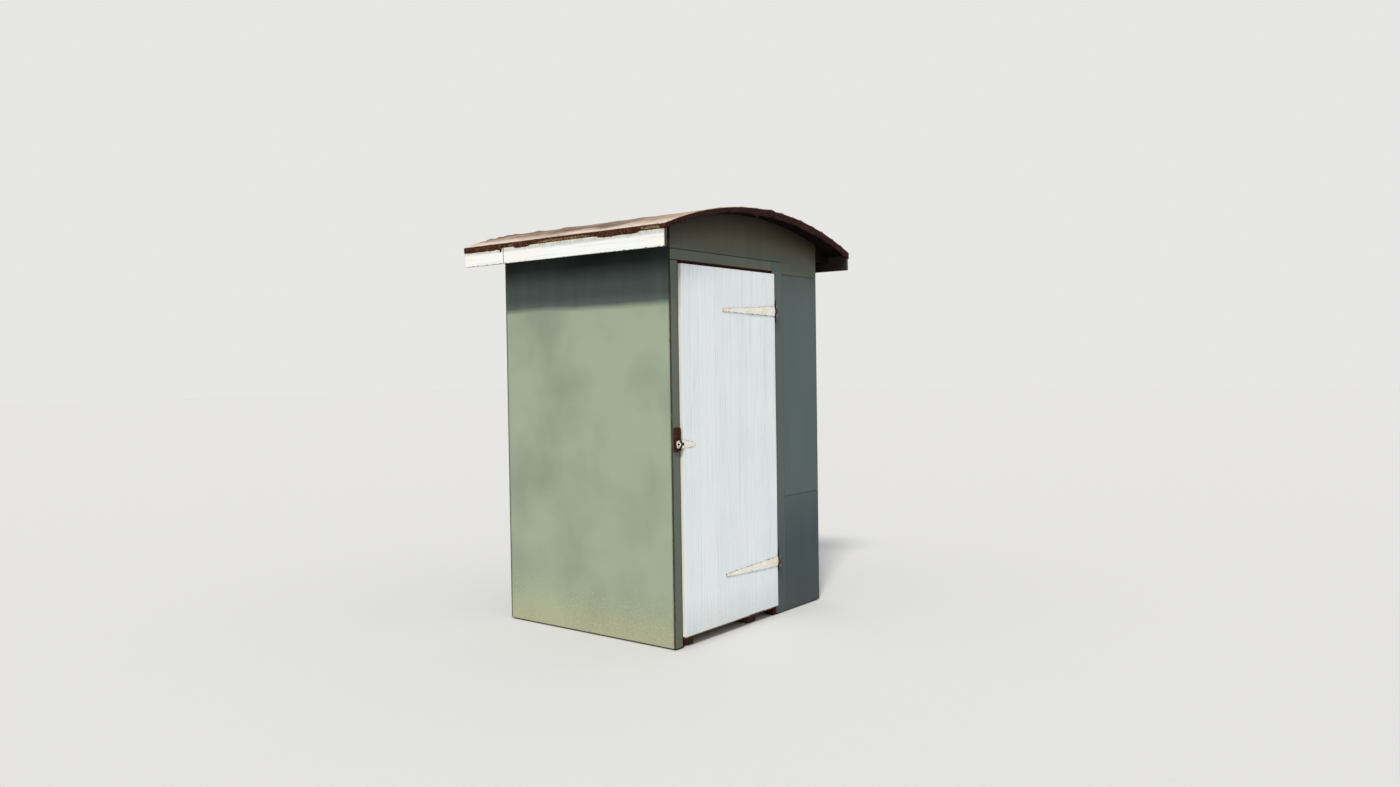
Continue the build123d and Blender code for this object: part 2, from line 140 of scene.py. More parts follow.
def slab(front, back):
    """A closed board between two grids of points, with a wall round the border that they share."""
    index = numbered(*front.shape[:2])
    size = index.size
    rim = np.concatenate((index[0], index[1:, -1], index[-1, -2::-1], index[-2:0:-1, 0]))
    ahead = np.roll(rim, -1)
    walls = coordinates(rim, rim + size, ahead + size, ahead)
    faces = grid_faces(index)
    points = np.concatenate((front.reshape(-1, 3), back.reshape(-1, 3)))
    return points, np.concatenate((faces, faces[:, ::-1] + size, walls)).tolist()


def sweep(rings):
    """A closed bar from a stack of rings of points, with a flat cap on each end."""
    index = numbered(*rings.shape[:2])
    return rings.reshape(-1, 3), grid_faces(closed(index)).tolist() + [index[0, ::-1].tolist(), index[-1].tolist()]


def hoop(rings):
    """A closed ring from rings of points that follow each other round a loop, with no ends."""
    index = numbered(*rings.shape[:2])
    return rings.reshape(-1, 3), grid_faces(closed(np.append(index, index[:1], axis=0))).tolist()


def gather(parts):
    """Several shapes, each its points and faces, as one."""
    points, faces, count = [], [], 0
    for part_points, part_faces in parts:
        points.append(part_points)
        faces += [[corner + count for corner in face] for face in part_faces]
        count += len(part_points)
    return np.concatenate(points), faces


def stand(name, data):
    """An object in the scene."""
    made = bpy.data.objects.new(name, data)
    bpy.context.scene.collection.objects.link(made)
    return made


def piece(name, shape, body, slot, *nodes, values=None, bevel=0.0, sharp=35.0):
    """A piece from points and faces, closed and facing outward, with named values on its points.

    It rides on its body and hides the nodes that it stands for. The slot that it is given is not used.
    """
    points, faces = shape
    mesh = bpy.data.meshes.new(name)
    mesh.from_pydata(points.tolist(), [], faces)
    for label, array in (values or {}).items():
        layer = mesh.attributes.new(label, "FLOAT", "POINT")
        layer.data.foreach_set("value", np.asarray(array, dtype=np.float32).ravel())
    work = bmesh.new()
    work.from_mesh(mesh)
    bmesh.ops.remove_doubles(work, verts=work.verts, dist=SAME_POINT)
    bmesh.ops.recalc_face_normals(work, faces=work.faces)
    work.to_mesh(mesh)
    work.free()
    mesh.shade_smooth()
    mesh.set_sharp_from_angle(angle=radians(sharp))
    made = stand(name, mesh)
    if bevel:
        soften = made.modifiers.new("eased edges", "BEVEL")
        soften.width = bevel
        soften.segments = 2
        soften.limit_method = "ANGLE"
        soften.angle_limit = radians(EASED_FROM)
    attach(made, body)
    if nodes:
        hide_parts(*nodes)
    return made


# Wall sheets
def sheet_shape(
    origin, across, outward, width, bottom, top, bulge, seed, step=30 * MM, rise=Z, thick=SHEET, breaks=(), shelter=None
):
    """A flat sheet: a grid from the lower outline to the upper one, moved outward by waves that die at its border.

    The point at u, v is origin + u across + (bottom(u) + v (top(u) - bottom(u))) rise + outward bulge w(u, v).
    The shade values say how far below the upper outline the painted shade of the eaves reaches, and the last part
    of that over which it fades out.
    """
    u = np.unique(np.concatenate((spaced(width, step), breaks)))
    low, high = (edge_at(u)[:, None] for edge_at in (bottom, top))
    v = spaced(float(np.median(high - low)), step)
    u, v = np.meshgrid(u, v / v[-1], indexing="ij")
    height = low + v * (high - low)
    edge = np.minimum(np.minimum(u, width - u), np.minimum(height - low, high - height))
    # the nails hold it flat near its border
    held = np.clip(edge / (90 * MM), 0, 1)
    lift = (bulge * held * (0.5 + 0.5 * waves(u, height, 0.8, seed, octaves=2)))[..., None] * outward
    face = origin + u[..., None] * across + height[..., None] * rise
    reach, fade = shelter or (0.0, 1.0)
    # painted shade under the eaves: full close under the upper outline, fading out lower down
    shaded = np.clip((reach - (high - height)) / fade, 0, 1)
    values = {
        "edge": np.tile(edge.ravel(), 2),
        "back": np.repeat((0.0, 1.0), edge.size),
        "shelter": np.tile(shaded.ravel(), 2),
    }
    return slab(face + lift, face - thick * outward + lift), values


def level(height):
    """An outline that stays at one height."""
    return lambda u: np.full(len(u), height)


def roof_line(first_x, top):
    """The outline under the roof boards: a circle about the roof's centre line."""
    radius = top - ROOF_CENTRE
    return lambda u: ROOF_CENTRE + np.sqrt(radius**2 - (first_x + u) ** 2)


def panel(name, node, outward, seed, bulge, foot=None, head=None, part=None, slot="green_sheet", **settings):
    """An upright sheet in place of a node, or of a part of its width, level where it isn't given an outline."""
    low, high = span(node)
    axis = 1 if outward[0] else 0
    start, end = part or (low[axis], high[axis])
    origin = np.where(outward > 0, high, low) * (1, 1, 0)
    origin[axis] = start
    shape, values = sheet_shape(
        origin, np.eye(3)[axis], outward, end - start, foot or level(low[2]), head or level(high[2]), bulge, seed,
        **settings,
    )
    return piece(name, shape, "root", slot, *(() if part else (node,)), values=values, bevel=1.2 * MM)


# The sides are one sheet each. Painted shade of the eaves begins on them at one level and is full a hand's width higher
EAVE_SHADE_FROM, EAVE_SHADE_FADE = 1.883, 107 * MM
left_wall, right_wall = (
    panel(f"{side}_wall", f"wall_sheet_{side}", outward, seed, 2.5 * MM, shelter=(left_high[2] - EAVE_SHADE_FROM, EAVE_SHADE_FADE))
    for side, outward, seed in (("left", -X, 11), ("right", X, 12))
)
# the header's lower edge was trimmed a little to clear the door, and the left casing ends where it begins
TRIM = 5 * MM
left_casing = panel("left_casing", "casing_left", -Y, 21, 0.3 * MM, head=level(casing_high[2] + TRIM))
right_casing = panel("right_casing", "casing_right", -Y, 22, 0.3 * MM)
header = panel("header", "front_header", -Y, 23, 0.3 * MM, level(header_low[2] + TRIM))
right_panel = panel("right_panel", "front_panel", -Y, 24, 1.0 * MM)
low_panel = panel("right_low_panel", "front_panel_low", -Y, 25, 1.0 * MM)
half_gap = 0.75 * MM
rear_sheets = [
    panel(f"rear_{side}_sheet", "wall_sheets_rear", Y, seed, 1.5 * MM, part=part)
    for side, seed, part in (("left", 26, (rear_low[0], -half_gap)), ("right", 27, (half_gap, rear_high[0])))
]
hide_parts("wall_sheets_rear")

# The front arched panel steps down beside the right casing
arch_step = header_high[2] + 1.5 * MM


def arch_foot(u):
    """The lower outline of the front arched panel, level but for one step down."""
    return np.where(u + arch_low[0] > panel_low[0], arch_low[2], arch_step)


# both arched panels take painted shade under the roof's edge, 135 mm deep at the front and 110 at the back
front_arch = panel(
    "front_arch", "arch_panel_front", -Y, 31, 0.8 * MM, arch_foot, roof_line(arch_low[0], arch_high[2]), step=20 * MM,
    shelter=(135 * MM, 135 * MM),
)
rear_arch = panel(
    "rear_arch", "arch_panel_rear", Y, 32, 0.8 * MM, head=roof_line(rear_arch_low[0], rear_arch_high[2]), step=20 * MM,
    shelter=(110 * MM, 110 * MM),
)


# Heads of nails and screws
def spokes(around, first, second):
    """Unit vectors at even turns in the planes of paired axes: cos v A + sin v B."""
    turn = np.linspace(0, 2 * pi, around, endpoint=False)[None, :, None]
    return np.cos(turn) * first[:, None] + np.sin(turn) * second[:, None]


def studs(profile, places, normals, around=12):
    """Turned heads, one at each place.

    The point at u, v of a head is place + r(u) (cos v A + sin v B) + h(u) N, where N is the normal there
    and A and B are square to it. Each profile starts and ends on its axis, so both poles are closed.
    """
    places = np.asarray(places, dtype=float).reshape(-1, 3)
    normals = np.broadcast_to(normals, places.shape)
    normals = normals / np.linalg.norm(normals, axis=1, keepdims=True)
    helper = np.where(np.abs(normals[:, 2:]) > 0.9, Y[None], Z[None])
    first = np.cross(helper, normals)
    first = first / np.linalg.norm(first, axis=1, keepdims=True)
    reach, rise = np.array(profile).T[..., None, None] * MM
    spoke = spokes(around, first, np.cross(normals, first))[:, None]
    points = places[:, None, None] + reach * spoke + rise * normals[:, None, None]
    index = numbered(len(reach), around)
    offsets = np.arange(len(places)) * index.size
    faces = grid_faces(closed(index)) + offsets[:, None, None]
    return points.reshape(-1, 3), faces.reshape(-1, 4).tolist()


def row(start, end, spacing):
    """Places along a straight line from start to end, about a spacing apart."""
    start, end = np.array(start, dtype=float), np.array(end, dtype=float)
    count = max(2, int(round(np.linalg.norm(end - start) / spacing)) + 1)
    return start + np.linspace(0, 1, count)[:, None] * (end - start)


# Nail heads under paint, 6 mm across, and a clout nail for felt, 10 mm across
PAINTED_NAIL = ((0, 0.55), (1.6, 0.5), (2.6, 0.3), (3.1, 0.0), (3.2, -0.6), (0, -0.6))
CLOUT = ((0, 1.3), (2.4, 1.1), (4.2, 0.7), (5.0, 0.0), (5.0, -0.8), (0, -0.8))
NAIL_STEP = 150 * MM
NAIL_IN = 22 * MM
# the lowest row stands clear of the wet foot of a sheet
FOOT_IN = 18 * MM
# the middle of the rails
RAIL_Z = 1.0225
# how far from an edge a painted head counts, which leaves a few of them chipped
HEAD_EDGE = 2.6 * MM


def wall_rows(axis, value, lines):
    """Rows of nails on the wall where an axis has one value, each from one point to another, along and up."""
    ends = [np.insert(np.reshape(line, (2, 2)), axis, value, axis=1) for line in lines]
    return np.concatenate([row(start, end, NAIL_STEP) for start, end in ends])


def frame_rows(low, high, axis, value, extra=()):
    """Rows of nails round a rectangle a little inside its border, and along further levels of Z."""
    first, last = low[1 - axis] + NAIL_IN, high[1 - axis] - NAIL_IN
    foot, head = low[2] + NAIL_IN + FOOT_IN, high[2] - NAIL_IN
    lines = [(first, foot, first, head), (last, foot, last, head)]
    lines += [(first, height, last, height) for height in (foot, head, *extra)]
    return wall_rows(axis, value, lines)


def hand_nailed(places, normal, seed, amount=2.5 * MM):
    """Nail heads at places moved a little, as nails are by hand, but not off their surface."""
    move = np.random.default_rng(seed).normal(0, amount, places.shape)
    move[:, normal != 0] = 0
    return studs(PAINTED_NAIL, places + move, normal)


def nails(name, body, slot, *shapes):
    """Painted nail heads as one piece."""
    shape = gather(shapes)
    return piece(name, shape, body, slot, values={"edge": np.full(len(shape[0]), HEAD_EDGE)})


left_places = frame_rows(left_low, left_high, 0, left_low[0], (RAIL_Z,))
right_places = frame_rows(right_low, right_high, 0, right_high[0], (RAIL_Z,))
left_nails = nails("left_wall_nails", "root", "green_sheet", hand_nailed(left_places, -X, 61))
right_nails = nails("right_wall_nails", "root", "green_sheet", hand_nailed(right_places, X, 62))
# up the left casing, below and above the staple's block, up the right one, and along the header
CASING_X, OTHER_CASING_X, HEADER_Z = -0.672, 0.262, 2.022
# along the foot of the arched panels and of the front one's step
ARCH_Z, STEP_Z = 2.056, 1.99
front_places = np.concatenate([
    wall_rows(1, FRONT_Y, (
        (CASING_X, 0.07, CASING_X, 0.93), (CASING_X, 1.19, CASING_X, 1.94),
        (OTHER_CASING_X, 0.07, OTHER_CASING_X, 2.01), (-0.66, HEADER_Z, 0.20, HEADER_Z),
    )),
    frame_rows(panel_low, panel_high, 1, FRONT_Y),
    frame_rows(low_panel_low, low_panel_high, 1, FRONT_Y),
    wall_rows(1, FRONT_Y, ((-0.66, ARCH_Z, 0.31, ARCH_Z), (0.35, STEP_Z, 0.66, STEP_Z))),
])
front_nails = nails("front_nails", "root", "green_sheet", hand_nailed(front_places, -Y, 63))
rear_y = rear_high[1]
rear_places = np.concatenate([
    frame_rows(rear_low, (-half_gap, rear_y, rear_high[2]), 1, rear_y, (RAIL_Z,)),
    frame_rows((half_gap, rear_y, rear_low[2]), rear_high, 1, rear_y, (RAIL_Z,)),
    wall_rows(1, rear_y, ((-0.66, ARCH_Z, 0.66, ARCH_Z),)),
])
rear_nails = nails("rear_nails", "root", "green_sheet", hand_nailed(rear_places, Y, 64))


# Sawn boards and posts
def outline(width, thickness, radius, rim=(3.0, 7.0, 14.0)):
    """A rectangle with round corners, with more points near them, and each point's distance to its corner."""
    def side(length):
        half = length / 2 - radius
        near = half - np.array(rim) * MM
        near = near[near > 1 * MM]
        return np.concatenate((-near, [0.0] if half < 60 * MM else np.linspace(-0.5, 0.5, 4) * half, near[::-1]))

    ease = np.radians(np.linspace(0, 90, 4))
    bend = radius * coordinates(np.cos(ease), np.sin(ease))
    u, v = width / 2 - radius, thickness / 2 - radius
    runs = []
    for turn, (corner, length, start, step) in enumerate((
        ((u, v), width, (0, v + radius), (-1, 0)),
        ((-u, v), thickness, (-u - radius, 0), (0, -1)),
        ((-u, -v), width, (0, -v - radius), (1, 0)),
        ((u, -v), thickness, (u + radius, 0), (0, 1)),
    )):
        # the cosine and the sine of one more quarter turn at each corner
        c, s = (1, 0, -1, 0)[turn], (0, 1, 0, -1)[turn]
        runs.append(np.array(corner) + bend @ np.array(((c, s), (-s, c))))
        runs.append(np.array(start) + side(length)[:, None] * np.array(step))
    points = np.concatenate(runs)
    away = np.maximum(u - np.abs(points[:, 0]), 0) + np.maximum(v - np.abs(points[:, 1]), 0)
    return points, away


def plank(
    origin, along, across, length, width, thickness, seed, radius=1.5 * MM, wander=0.5 * MM, step=70 * MM, slant=0.0
):
    """A board: a round-cornered rectangle carried from its origin along its length, a little out of true.

    The point at u, v is origin + (u + slant a(v)) along + a(v) across + b(v) up, where a and b run round the
    section and are moved by slow waves of u. On each end the section is cut off at ever smaller rectangles
    until it closes on a line, so the ends are flat and closed.
    """
    up = np.cross(along, across)
    section, corner_away = outline(width, thickness, radius)
    inset = np.array((0.0, 2.0, 6.0, 12.0)) * MM
    inset = np.append(inset[inset < min(width, thickness) / 2 - 1 * MM], min(width, thickness) / 2)
    stations = spaced(length, step, rim=(1.5, 6.0, 14.0))
    u = np.concatenate((np.zeros(len(inset) - 1), stations, np.full(len(inset) - 1, length)))
    cut = np.concatenate((inset[:0:-1], np.zeros(len(stations)), inset[1:]))
    half = np.array((width / 2, thickness / 2))
    limit = half[None] - cut[:, None]
    ring = np.clip(section[None], -limit[:, None], limit[:, None])
    ring = ring + coordinates(*(wander * waves(u, 0, 0.9, seed + k, octaves=2) for k in range(2)))[:, None]
    points = origin + (u[:, None, None] + slant * ring[..., :1]) * along + ring[..., :1] * across + ring[..., 1:] * up
    end_away = np.maximum(np.minimum(u, length - u), cut)
    edge = np.where(cut[:, None] > 0, cut[:, None], np.minimum(corner_away[None], end_away[:, None]))
    end = np.broadcast_to((np.minimum(u, length - u) < SAME_POINT)[:, None], edge.shape)
    return sweep(points), edge.ravel(), end.ravel().astype(float)


def boards(name, planks, *where):
    """One piece from several planks, with the distance to the nearest edge and which end faces are cut."""
    shapes, edges, ends = zip(*planks)
    return piece(name, gather(shapes), *where, values={"edge": np.concatenate(edges), "end": np.concatenate(ends)})


def box_plank(low, high, axis, seed, **settings):
    """The plank that fills a box, lying along one of its axes."""
    low, high = np.array(low), np.array(high)
    origin = (low + high) / 2
    origin[axis] = low[axis]
    axes = np.roll(np.arange(3), -axis)
    return plank(origin, *np.eye(3)[axes[:2]], *(high - low)[axes], seed, **settings)


TIMBER_AXES = {
    "bearer_left": 1, "bearer_middle": 1, "bearer_right": 1, "post_front_left": 2, "post_front_right": 2,
    "post_rear_left": 2, "post_rear_right": 2, "door_post": 2, "rear_stud": 2, "door_head": 0,
    "rail_front": 0, "rail_left": 1, "rail_right": 1, "plate_front": 0, "plate_rear": 0,
    "plate_left": 1, "plate_right": 1, "door_ledge_lower": 0, "door_ledge_upper": 0,
}
timber_pieces = {}
for count, (label, axis) in enumerate(TIMBER_AXES.items()):
    # the bearers lie on the ground, so they stay true
    out_of_true = 0.0 if label.startswith("bearer") else 0.4 * MM
    timber = box_plank(*span(label), axis, 200 + 3 * count, wander=out_of_true)
    body = "door" if label.startswith("door_ledge") else "root"
    timber_pieces[label] = boards(f"{label}_timber", [timber], body, "rough_timber", label)

# The brace, a slanted plank with level ends between the ledges
BRACE_WIDTH = 95 * MM
brace_low, brace_high = span("door_brace")
brace_foot = np.array((brace_high[0] - BRACE_WIDTH / 2, (brace_low[1] + brace_high[1]) / 2, brace_low[2]))
brace_head = np.array((brace_low[0] + BRACE_WIDTH / 2, brace_foot[1], brace_high[2]))
brace_length = np.linalg.norm(brace_head - brace_foot)
brace_way = (brace_head - brace_foot) / brace_length
brace_side = np.cross(brace_way, Y)
BRACE_TURN = -np.arctan2(brace_way[0], brace_way[2])
brace_wood = plank(
    brace_foot, brace_way, brace_side, brace_length, BRACE_WIDTH * brace_way[2], brace_high[1] - brace_low[1], 270,
    slant=-brace_side[2] / brace_way[2],
)
brace = boards("brace_timber", [brace_wood], "door", "rough_timber", "door_brace")

# Ribs: the roof's curve above, a flatter arch below between the wall plates, and level feet on them
WALL_TOP = span("plate_left")[1][2]
RIB_SPRING = span("plate_right")[0][0]
RIB_CROWN = 95 * MM
ribs = []
for count, label in enumerate(("rib_front", "rib_middle", "rib_rear")):
    low, high = span(label)
    arch_rise = high[2] - RIB_CROWN - WALL_TOP
    arch_radius = (RIB_SPRING**2 + arch_rise**2) / (2 * arch_rise)
    arch_centre = WALL_TOP + arch_rise - arch_radius

    def rib_foot(u):
        """The lower outline of a rib: a circle through both springings and the crown, and level outside them."""
        return np.maximum(low[2], arch_centre + np.sqrt(arch_radius**2 - (low[0] + u) ** 2))

    ribs.append(panel(
        f"{label}_timber", label, -Y, 280 + count, 0.5 * MM, rib_foot, roof_line(low[0], high[2]), slot="rough_timber",
        step=25 * MM, thick=high[1] - low[1],
    ))

# Floor boards from side to side, the first and the last notched round the posts
FLOOR_BOARDS = 8
FLOOR_GAP = 2 * MM
NOTCH = 1 * MM
floor_low, floor_high = span("floor_boards")
floor_pitch = (floor_high[1] - floor_low[1] + FLOOR_GAP) / FLOOR_BOARDS
posts = np.array([span(label) for label in TIMBER_AXES if "post" in label])


def notched(edge_y, rear):
    """The long edge of a floor board: level, and stepped in where a post stands in its way."""
    def outline_at(u):
        x = floor_low[0] + u
        line = np.full(len(u), edge_y)
        for low, high in posts:
            low, high = low - NOTCH, high + NOTCH
            inside = (x > low[0]) & (x < high[0]) & (edge_y > low[1]) & (edge_y < high[1])
            line = np.where(inside, low[1] if rear else high[1], line)
        return line
    return outline_at


# a line of points close to either side of each notch's corner
post_edges = (posts[:, :, 0] + NOTCH * np.array((-1, 1))).ravel() - floor_low[0]
post_edges = np.concatenate((post_edges - 0.1 * MM, post_edges + 0.1 * MM))
post_edges = post_edges[(post_edges > 0) & (post_edges < floor_high[0] - floor_low[0])]
floor_shapes = []
for count in range(FLOOR_BOARDS):
    first_y = floor_low[1] + count * floor_pitch
    floor_shapes.append(sheet_shape(
        np.array((floor_low[0], 0.0, floor_high[2])), X, Z, floor_high[0] - floor_low[0], notched(first_y, False),
        notched(first_y + floor_pitch - FLOOR_GAP, True), 0.6 * MM, 290 + count, step=60 * MM, rise=Y,
        thick=floor_high[2] - floor_low[2], breaks=post_edges,
    ))
floor_planks = piece(
    "floor_planks", gather([shape for shape, _ in floor_shapes]), "root", "rough_timber", "floor_boards",
    values={"edge": np.concatenate([values["edge"] for _, values in floor_shapes])}, bevel=1.0 * MM,
)

# Fascia boards. The left one is in two lengths with a worn butt joint
fascia_low, fascia_high = span("fascia_left")
JOINT_Y = 411.5 * MM
JOINT_GAP = 1.5 * MM
FASCIA_TOP = 2.1015
ROOF_SLOPE = 0.375
# how far below its top a fascia board begins to be raised
PLANED = 20 * MM


def under_roof(length):
    """A fascia board with its top planed to the roof's slope: raised by the slope times the way in from its face."""
    (points, faces), edge, end = length
    share = np.clip((points[:, 2] - FASCIA_TOP) / PLANED + 1, 0, 1)
    rise = share * ROOF_SLOPE * (-fascia_low[0] - np.abs(points[:, 0]))
    return (points + rise[:, None] * Z, faces), edge, end


fascia_pieces = []
for label, x_low, x_high, runs in (
    ("fascia_left", fascia_low[0], fascia_high[0], (
        (fascia_low[1], JOINT_Y - JOINT_GAP), (JOINT_Y + JOINT_GAP, fascia_high[1]),
    )),
    ("fascia_right", -fascia_high[0], -fascia_low[0], ((fascia_low[1], fascia_high[1]),)),
):
    lengths = [
        under_roof(box_plank(
            (x_low, start, fascia_low[2]), (x_high, end, FASCIA_TOP), 1, 300 + number,
            radius=2.5 * MM, wander=0.8 * MM, step=30 * MM,
        ))
        for number, (start, end) in enumerate(runs)
    ]
    fascia_pieces.append(boards(f"{label}_boards", lengths, "root", "white_fascia", label))
fascia_places = np.concatenate([
    row((fascia_low[0], -0.69, height), (fascia_low[0], 0.69, height), 320 * MM) for height in (2.043, 2.082)
])
fascia_nails = nails(
    "fascia_nails", "root", "white_fascia",
    hand_nailed(fascia_places, -X, 65), hand_nailed(fascia_places * (-1, 1, 1), X, 66),
)

# Roof boards, laid from end to end over the ribs, their tops 4 mm under the top of the felt
DECK_COUNT = 15
DECK = 20 * MM
DECK_GAP = 2 * MM
DECK_RADIUS = ROOF_RADIUS - 4 * MM
deck_pitch = 2 * np.arcsin(deck_high[0] / DECK_RADIUS) / DECK_COUNT
deck_width = 2 * (DECK_RADIUS - DECK) * np.tan(deck_pitch / 2) - DECK_GAP
deck_planks = []
for count in range(DECK_COUNT):
    angle = (count - (DECK_COUNT - 1) / 2) * deck_pitch
    up, flat = np.array(((sin(angle), 0.0, cos(angle)), (cos(angle), 0.0, -sin(angle))))
    origin = np.array((0.0, deck_low[1], ROOF_CENTRE)) + (DECK_RADIUS - DECK / 2) * up
    deck_planks.append(
        plank(origin, Y, flat, deck_high[1] - deck_low[1], deck_width, DECK, 400 + 3 * count, 1.2 * MM, 0.4 * MM)
    )
deck = boards("roof_planks", deck_planks, "root", "rough_timber", "roof_boards")


# Roof felt
BEND = 6 * MM


def felt_point(y, s, lift, proud, inset):
    """A point of the felt. s is the length along the curve from the crown and y runs from end to end.

    On the roof it lies on a circle about the roof's centre line. Past an eave or an end it turns down
    through a small quarter circle and then hangs straight, by the larger of its two overhangs. Where it
    laps over another strip it stands proud by that strip's thickness, on the roof and on its ends.
    """
    radius = ROOF_RADIUS - inset
    eave_x, end_y = EAVE_X - inset, END_Y - inset
    eave_s = radius * np.arcsin((eave_x - BEND) / radius)
    over_s = np.maximum(np.abs(s) - eave_s, 0)
    over_y = np.maximum(np.abs(y) - (end_y - BEND), 0)
    out_s, out_y = (BEND * np.sin(np.minimum(over / BEND, pi / 2)) for over in (over_s, over_y))
    down_s, down_y = (
        BEND * (1 - np.cos(np.minimum(over / BEND, pi / 2))) + np.maximum(over - BEND * pi / 2, 0)
        for over in (over_s, over_y)
    )
    out_y = out_y + proud * np.clip(over_y / BEND, 0, 1)
    angle = np.clip(s, -eave_s, eave_s) / radius
    reach = radius + lift + proud
    x = reach * np.sin(angle) + np.sign(s) * out_s
    z = ROOF_CENTRE + reach * np.cos(angle) - np.maximum(down_s, down_y)
    return coordinates(x, np.sign(y) * np.minimum(np.abs(y), end_y - BEND) + np.sign(y) * out_y, z)


EAVE_S = ROOF_RADIUS * np.arcsin((EAVE_X - BEND) / ROOF_RADIUS)
FLAT_Y = END_Y - BEND
LAP = 60 * MM


def front_hang(s):
    """How far the felt hangs over the front of the roof: cut by hand, less at the left, a little torn."""
    cut = np.interp(s, (-0.90, -0.35, 0.0, 0.90), (21, 25, 33, 40))
    return (cut + 4 * ragged(s, 70 * MM, 42) + 2.5 * ragged(s, 14 * MM, 43)) * MM


def rear_hang(s):
    """How far the felt hangs over the back of the roof, cut and torn like the front."""
    return (35 + 5 * ragged(s, 70 * MM, 44) + 3 * ragged(s, 14 * MM, 45)) * MM


# Places where the felt stands off the boards, each its y, its s, its reach along y and along s and its height
LUMPS = np.array((
    (-728, 45, 34, 15, 4.0), (-728, 152, 40, 18, 6.5), (-728, 268, 30, 13, 3.5), (-728, 352, 42, 17, 7.0),
    (-728, 478, 32, 14, 4.0), (-728, 590, 42, 18, 7.0), (-728, 711, 30, 14, 4.5), (-728, 818, 36, 16, 5.5),
    (-728, -95, 26, 12, 2.5), (-728, -240, 30, 14, 3.0), (-728, -430, 26, 12, 2.5), (-728, -640, 30, 14, 3.0),
    (205, -760, 22, 40, 4.0), (455, -868, 22, 34, 4.0), (515, -872, 28, 40, 5.5), (578, -866, 22, 34, 3.5),
    (640, -870, 26, 38, 4.5), (716, -842, 30, 22, 5.0), (712, -778, 32, 20, 3.5), (718, -716, 30, 24, 6.0),
    (714, -585, 30, 24, 5.0), (712, -525, 28, 20, 4.0), (300, -520, 24, 30, 5.0), (480, -560, 26, 30, 6.0),
    (-380, -872, 26, 26, 2.5), (-90, -872, 30, 26, 2.0), (330, -872, 18, 24, 3.0),
    (728, -640, 30, 16, 4.0), (728, -380, 26, 15, 3.0), (728, 210, 30, 16, 5.0), (728, 560, 30, 16, 4.0),
    (-300, 872, 30, 26, 4.0), (150, 872, 30, 26, 3.0), (480, 872, 26, 26, 5.0),
)) * MM


def felt_lift(y, s, seed):
    """Height of the felt off the boards: slow buckles, ripples down the slope, small puckers and a few lumps.

    Each lump is h exp(-(dy / a)^2 - (ds / b)^2) about its place.
    """
    buckle = 3.2 * np.clip(waves(y * 0.6, s, 0.30, seed, octaves=3), 0, 1)
    ripple = 4.0 * np.clip(waves(y, s * 0.25, 0.16, seed + 5, octaves=2) - 0.25, 0, 1)
    to_end = FLAT_Y - np.abs(y)
    to_eave = EAVE_S - np.abs(s)
    pucker = 1.4 * np.abs(np.sin(pi * s / (85 * MM))) ** 0.7 * np.exp(-((to_end / (28 * MM)) ** 2))
    pucker = pucker + 1.6 * np.abs(np.sin(pi * y / (95 * MM))) * np.exp(-((to_eave / (30 * MM)) ** 2))
    near = np.clip(np.minimum(to_end, to_eave) / (50 * MM), 0, 1)
    at_y, at_s, reach_y, reach_s, high = LUMPS.T
    away = ((y[..., None] - at_y) / reach_y) ** 2 + ((s[..., None] - at_s) / reach_s) ** 2
    return (near * (buckle + ripple) + pucker) * MM + np.exp(-away) @ high


def felt_sheet(name, from_s, to_s, fold_low, fold_high, proud, tags, seed, *nodes):
    """One strip of felt from from_s to to_s, its borders hanging or cut, laid over small buckles.

    tags are short torn tongues, each its place along s, its width and its length, on the front border.
    """
    fold = np.linspace(0, 1, 10)[1:]
    y_full, s_full = (
        np.concatenate((first - fold[::-1], np.linspace(first, last, count), last + fold))
        for first, last, count in ((-FLAT_Y, FLAT_Y, 190), (from_s, to_s, 150))
    )
    y_full = y_full[:, None]
    y_base, s_base = np.clip(y_full, -FLAT_Y, FLAT_Y), np.clip(s_full, from_s, to_s)
    # how far each point is down one of the borders, from 0 on the roof to 1 at the torn edge
    end_part = np.clip(np.abs(y_full) - FLAT_Y, 0, 1)
    low_part, high_part = np.clip(from_s - s_full, 0, 1), np.clip(s_full - to_s, 0, 1)
    at_front = front_hang(s_base)
    for at, wide, long in tags:
        at_front = at_front + long * np.exp(-(((s_base - at) / wide) ** 2))
    hang = np.where(y_base < 0, at_front, rear_hang(s_base))
    s_grid = s_base - fold_low(y_base) * low_part + fold_high(y_base) * high_part
    y_grid = y_base + np.sign(y_full) * end_part * hang
    flat = np.clip(1 - low_part * 6, 0, 1) * np.clip(1 - high_part * 6, 0, 1) * np.clip(1 - end_part * 6, 0, 1)
    raised = felt_lift(*np.broadcast_arrays(y_base, s_base), seed) * flat
    top, under = (felt_point(y_grid, s_grid, raised, proud(s_grid), inset) for inset in (0, FELT))
    reach_s = np.minimum(s_grid - s_grid[:, :1], s_grid[:, -1:] - s_grid)
    reach_y = np.minimum(y_grid - y_grid[:1], y_grid[-1:] - y_grid)
    over = np.maximum(np.abs(s_grid) - EAVE_S, np.abs(y_grid) - FLAT_Y)
    folded = np.clip(over / BEND, 0, 1).ravel()
    values = {
        "edge": np.tile(np.minimum(reach_s, reach_y).ravel(), 2),
        "fold": np.append(folded, np.ones(folded.size)),
    }
    return piece(name, slab(top, under), "root", "roofing_felt", *nodes, values=values, sharp=50)


# Torn lengths of the left border, from the front to the back of the roof
HANG_AT = np.array((-734, -712, -700, -650, -578, -562, -520, -440, -340, -296, -280, -200, -120, -40, 60, 150, 192,
                    210, 260, 322, 336, 365, 380, 415, 425, 500, 600, 734)) * MM
HANG = np.array((24, 22, 4, 3, 4, 28, 33, 31, 34, 29, 16, 8, 6, 9, 6, 15, 17, 31, 32, 32, 9, 6, 20, 8, 31, 33, 31, 33))


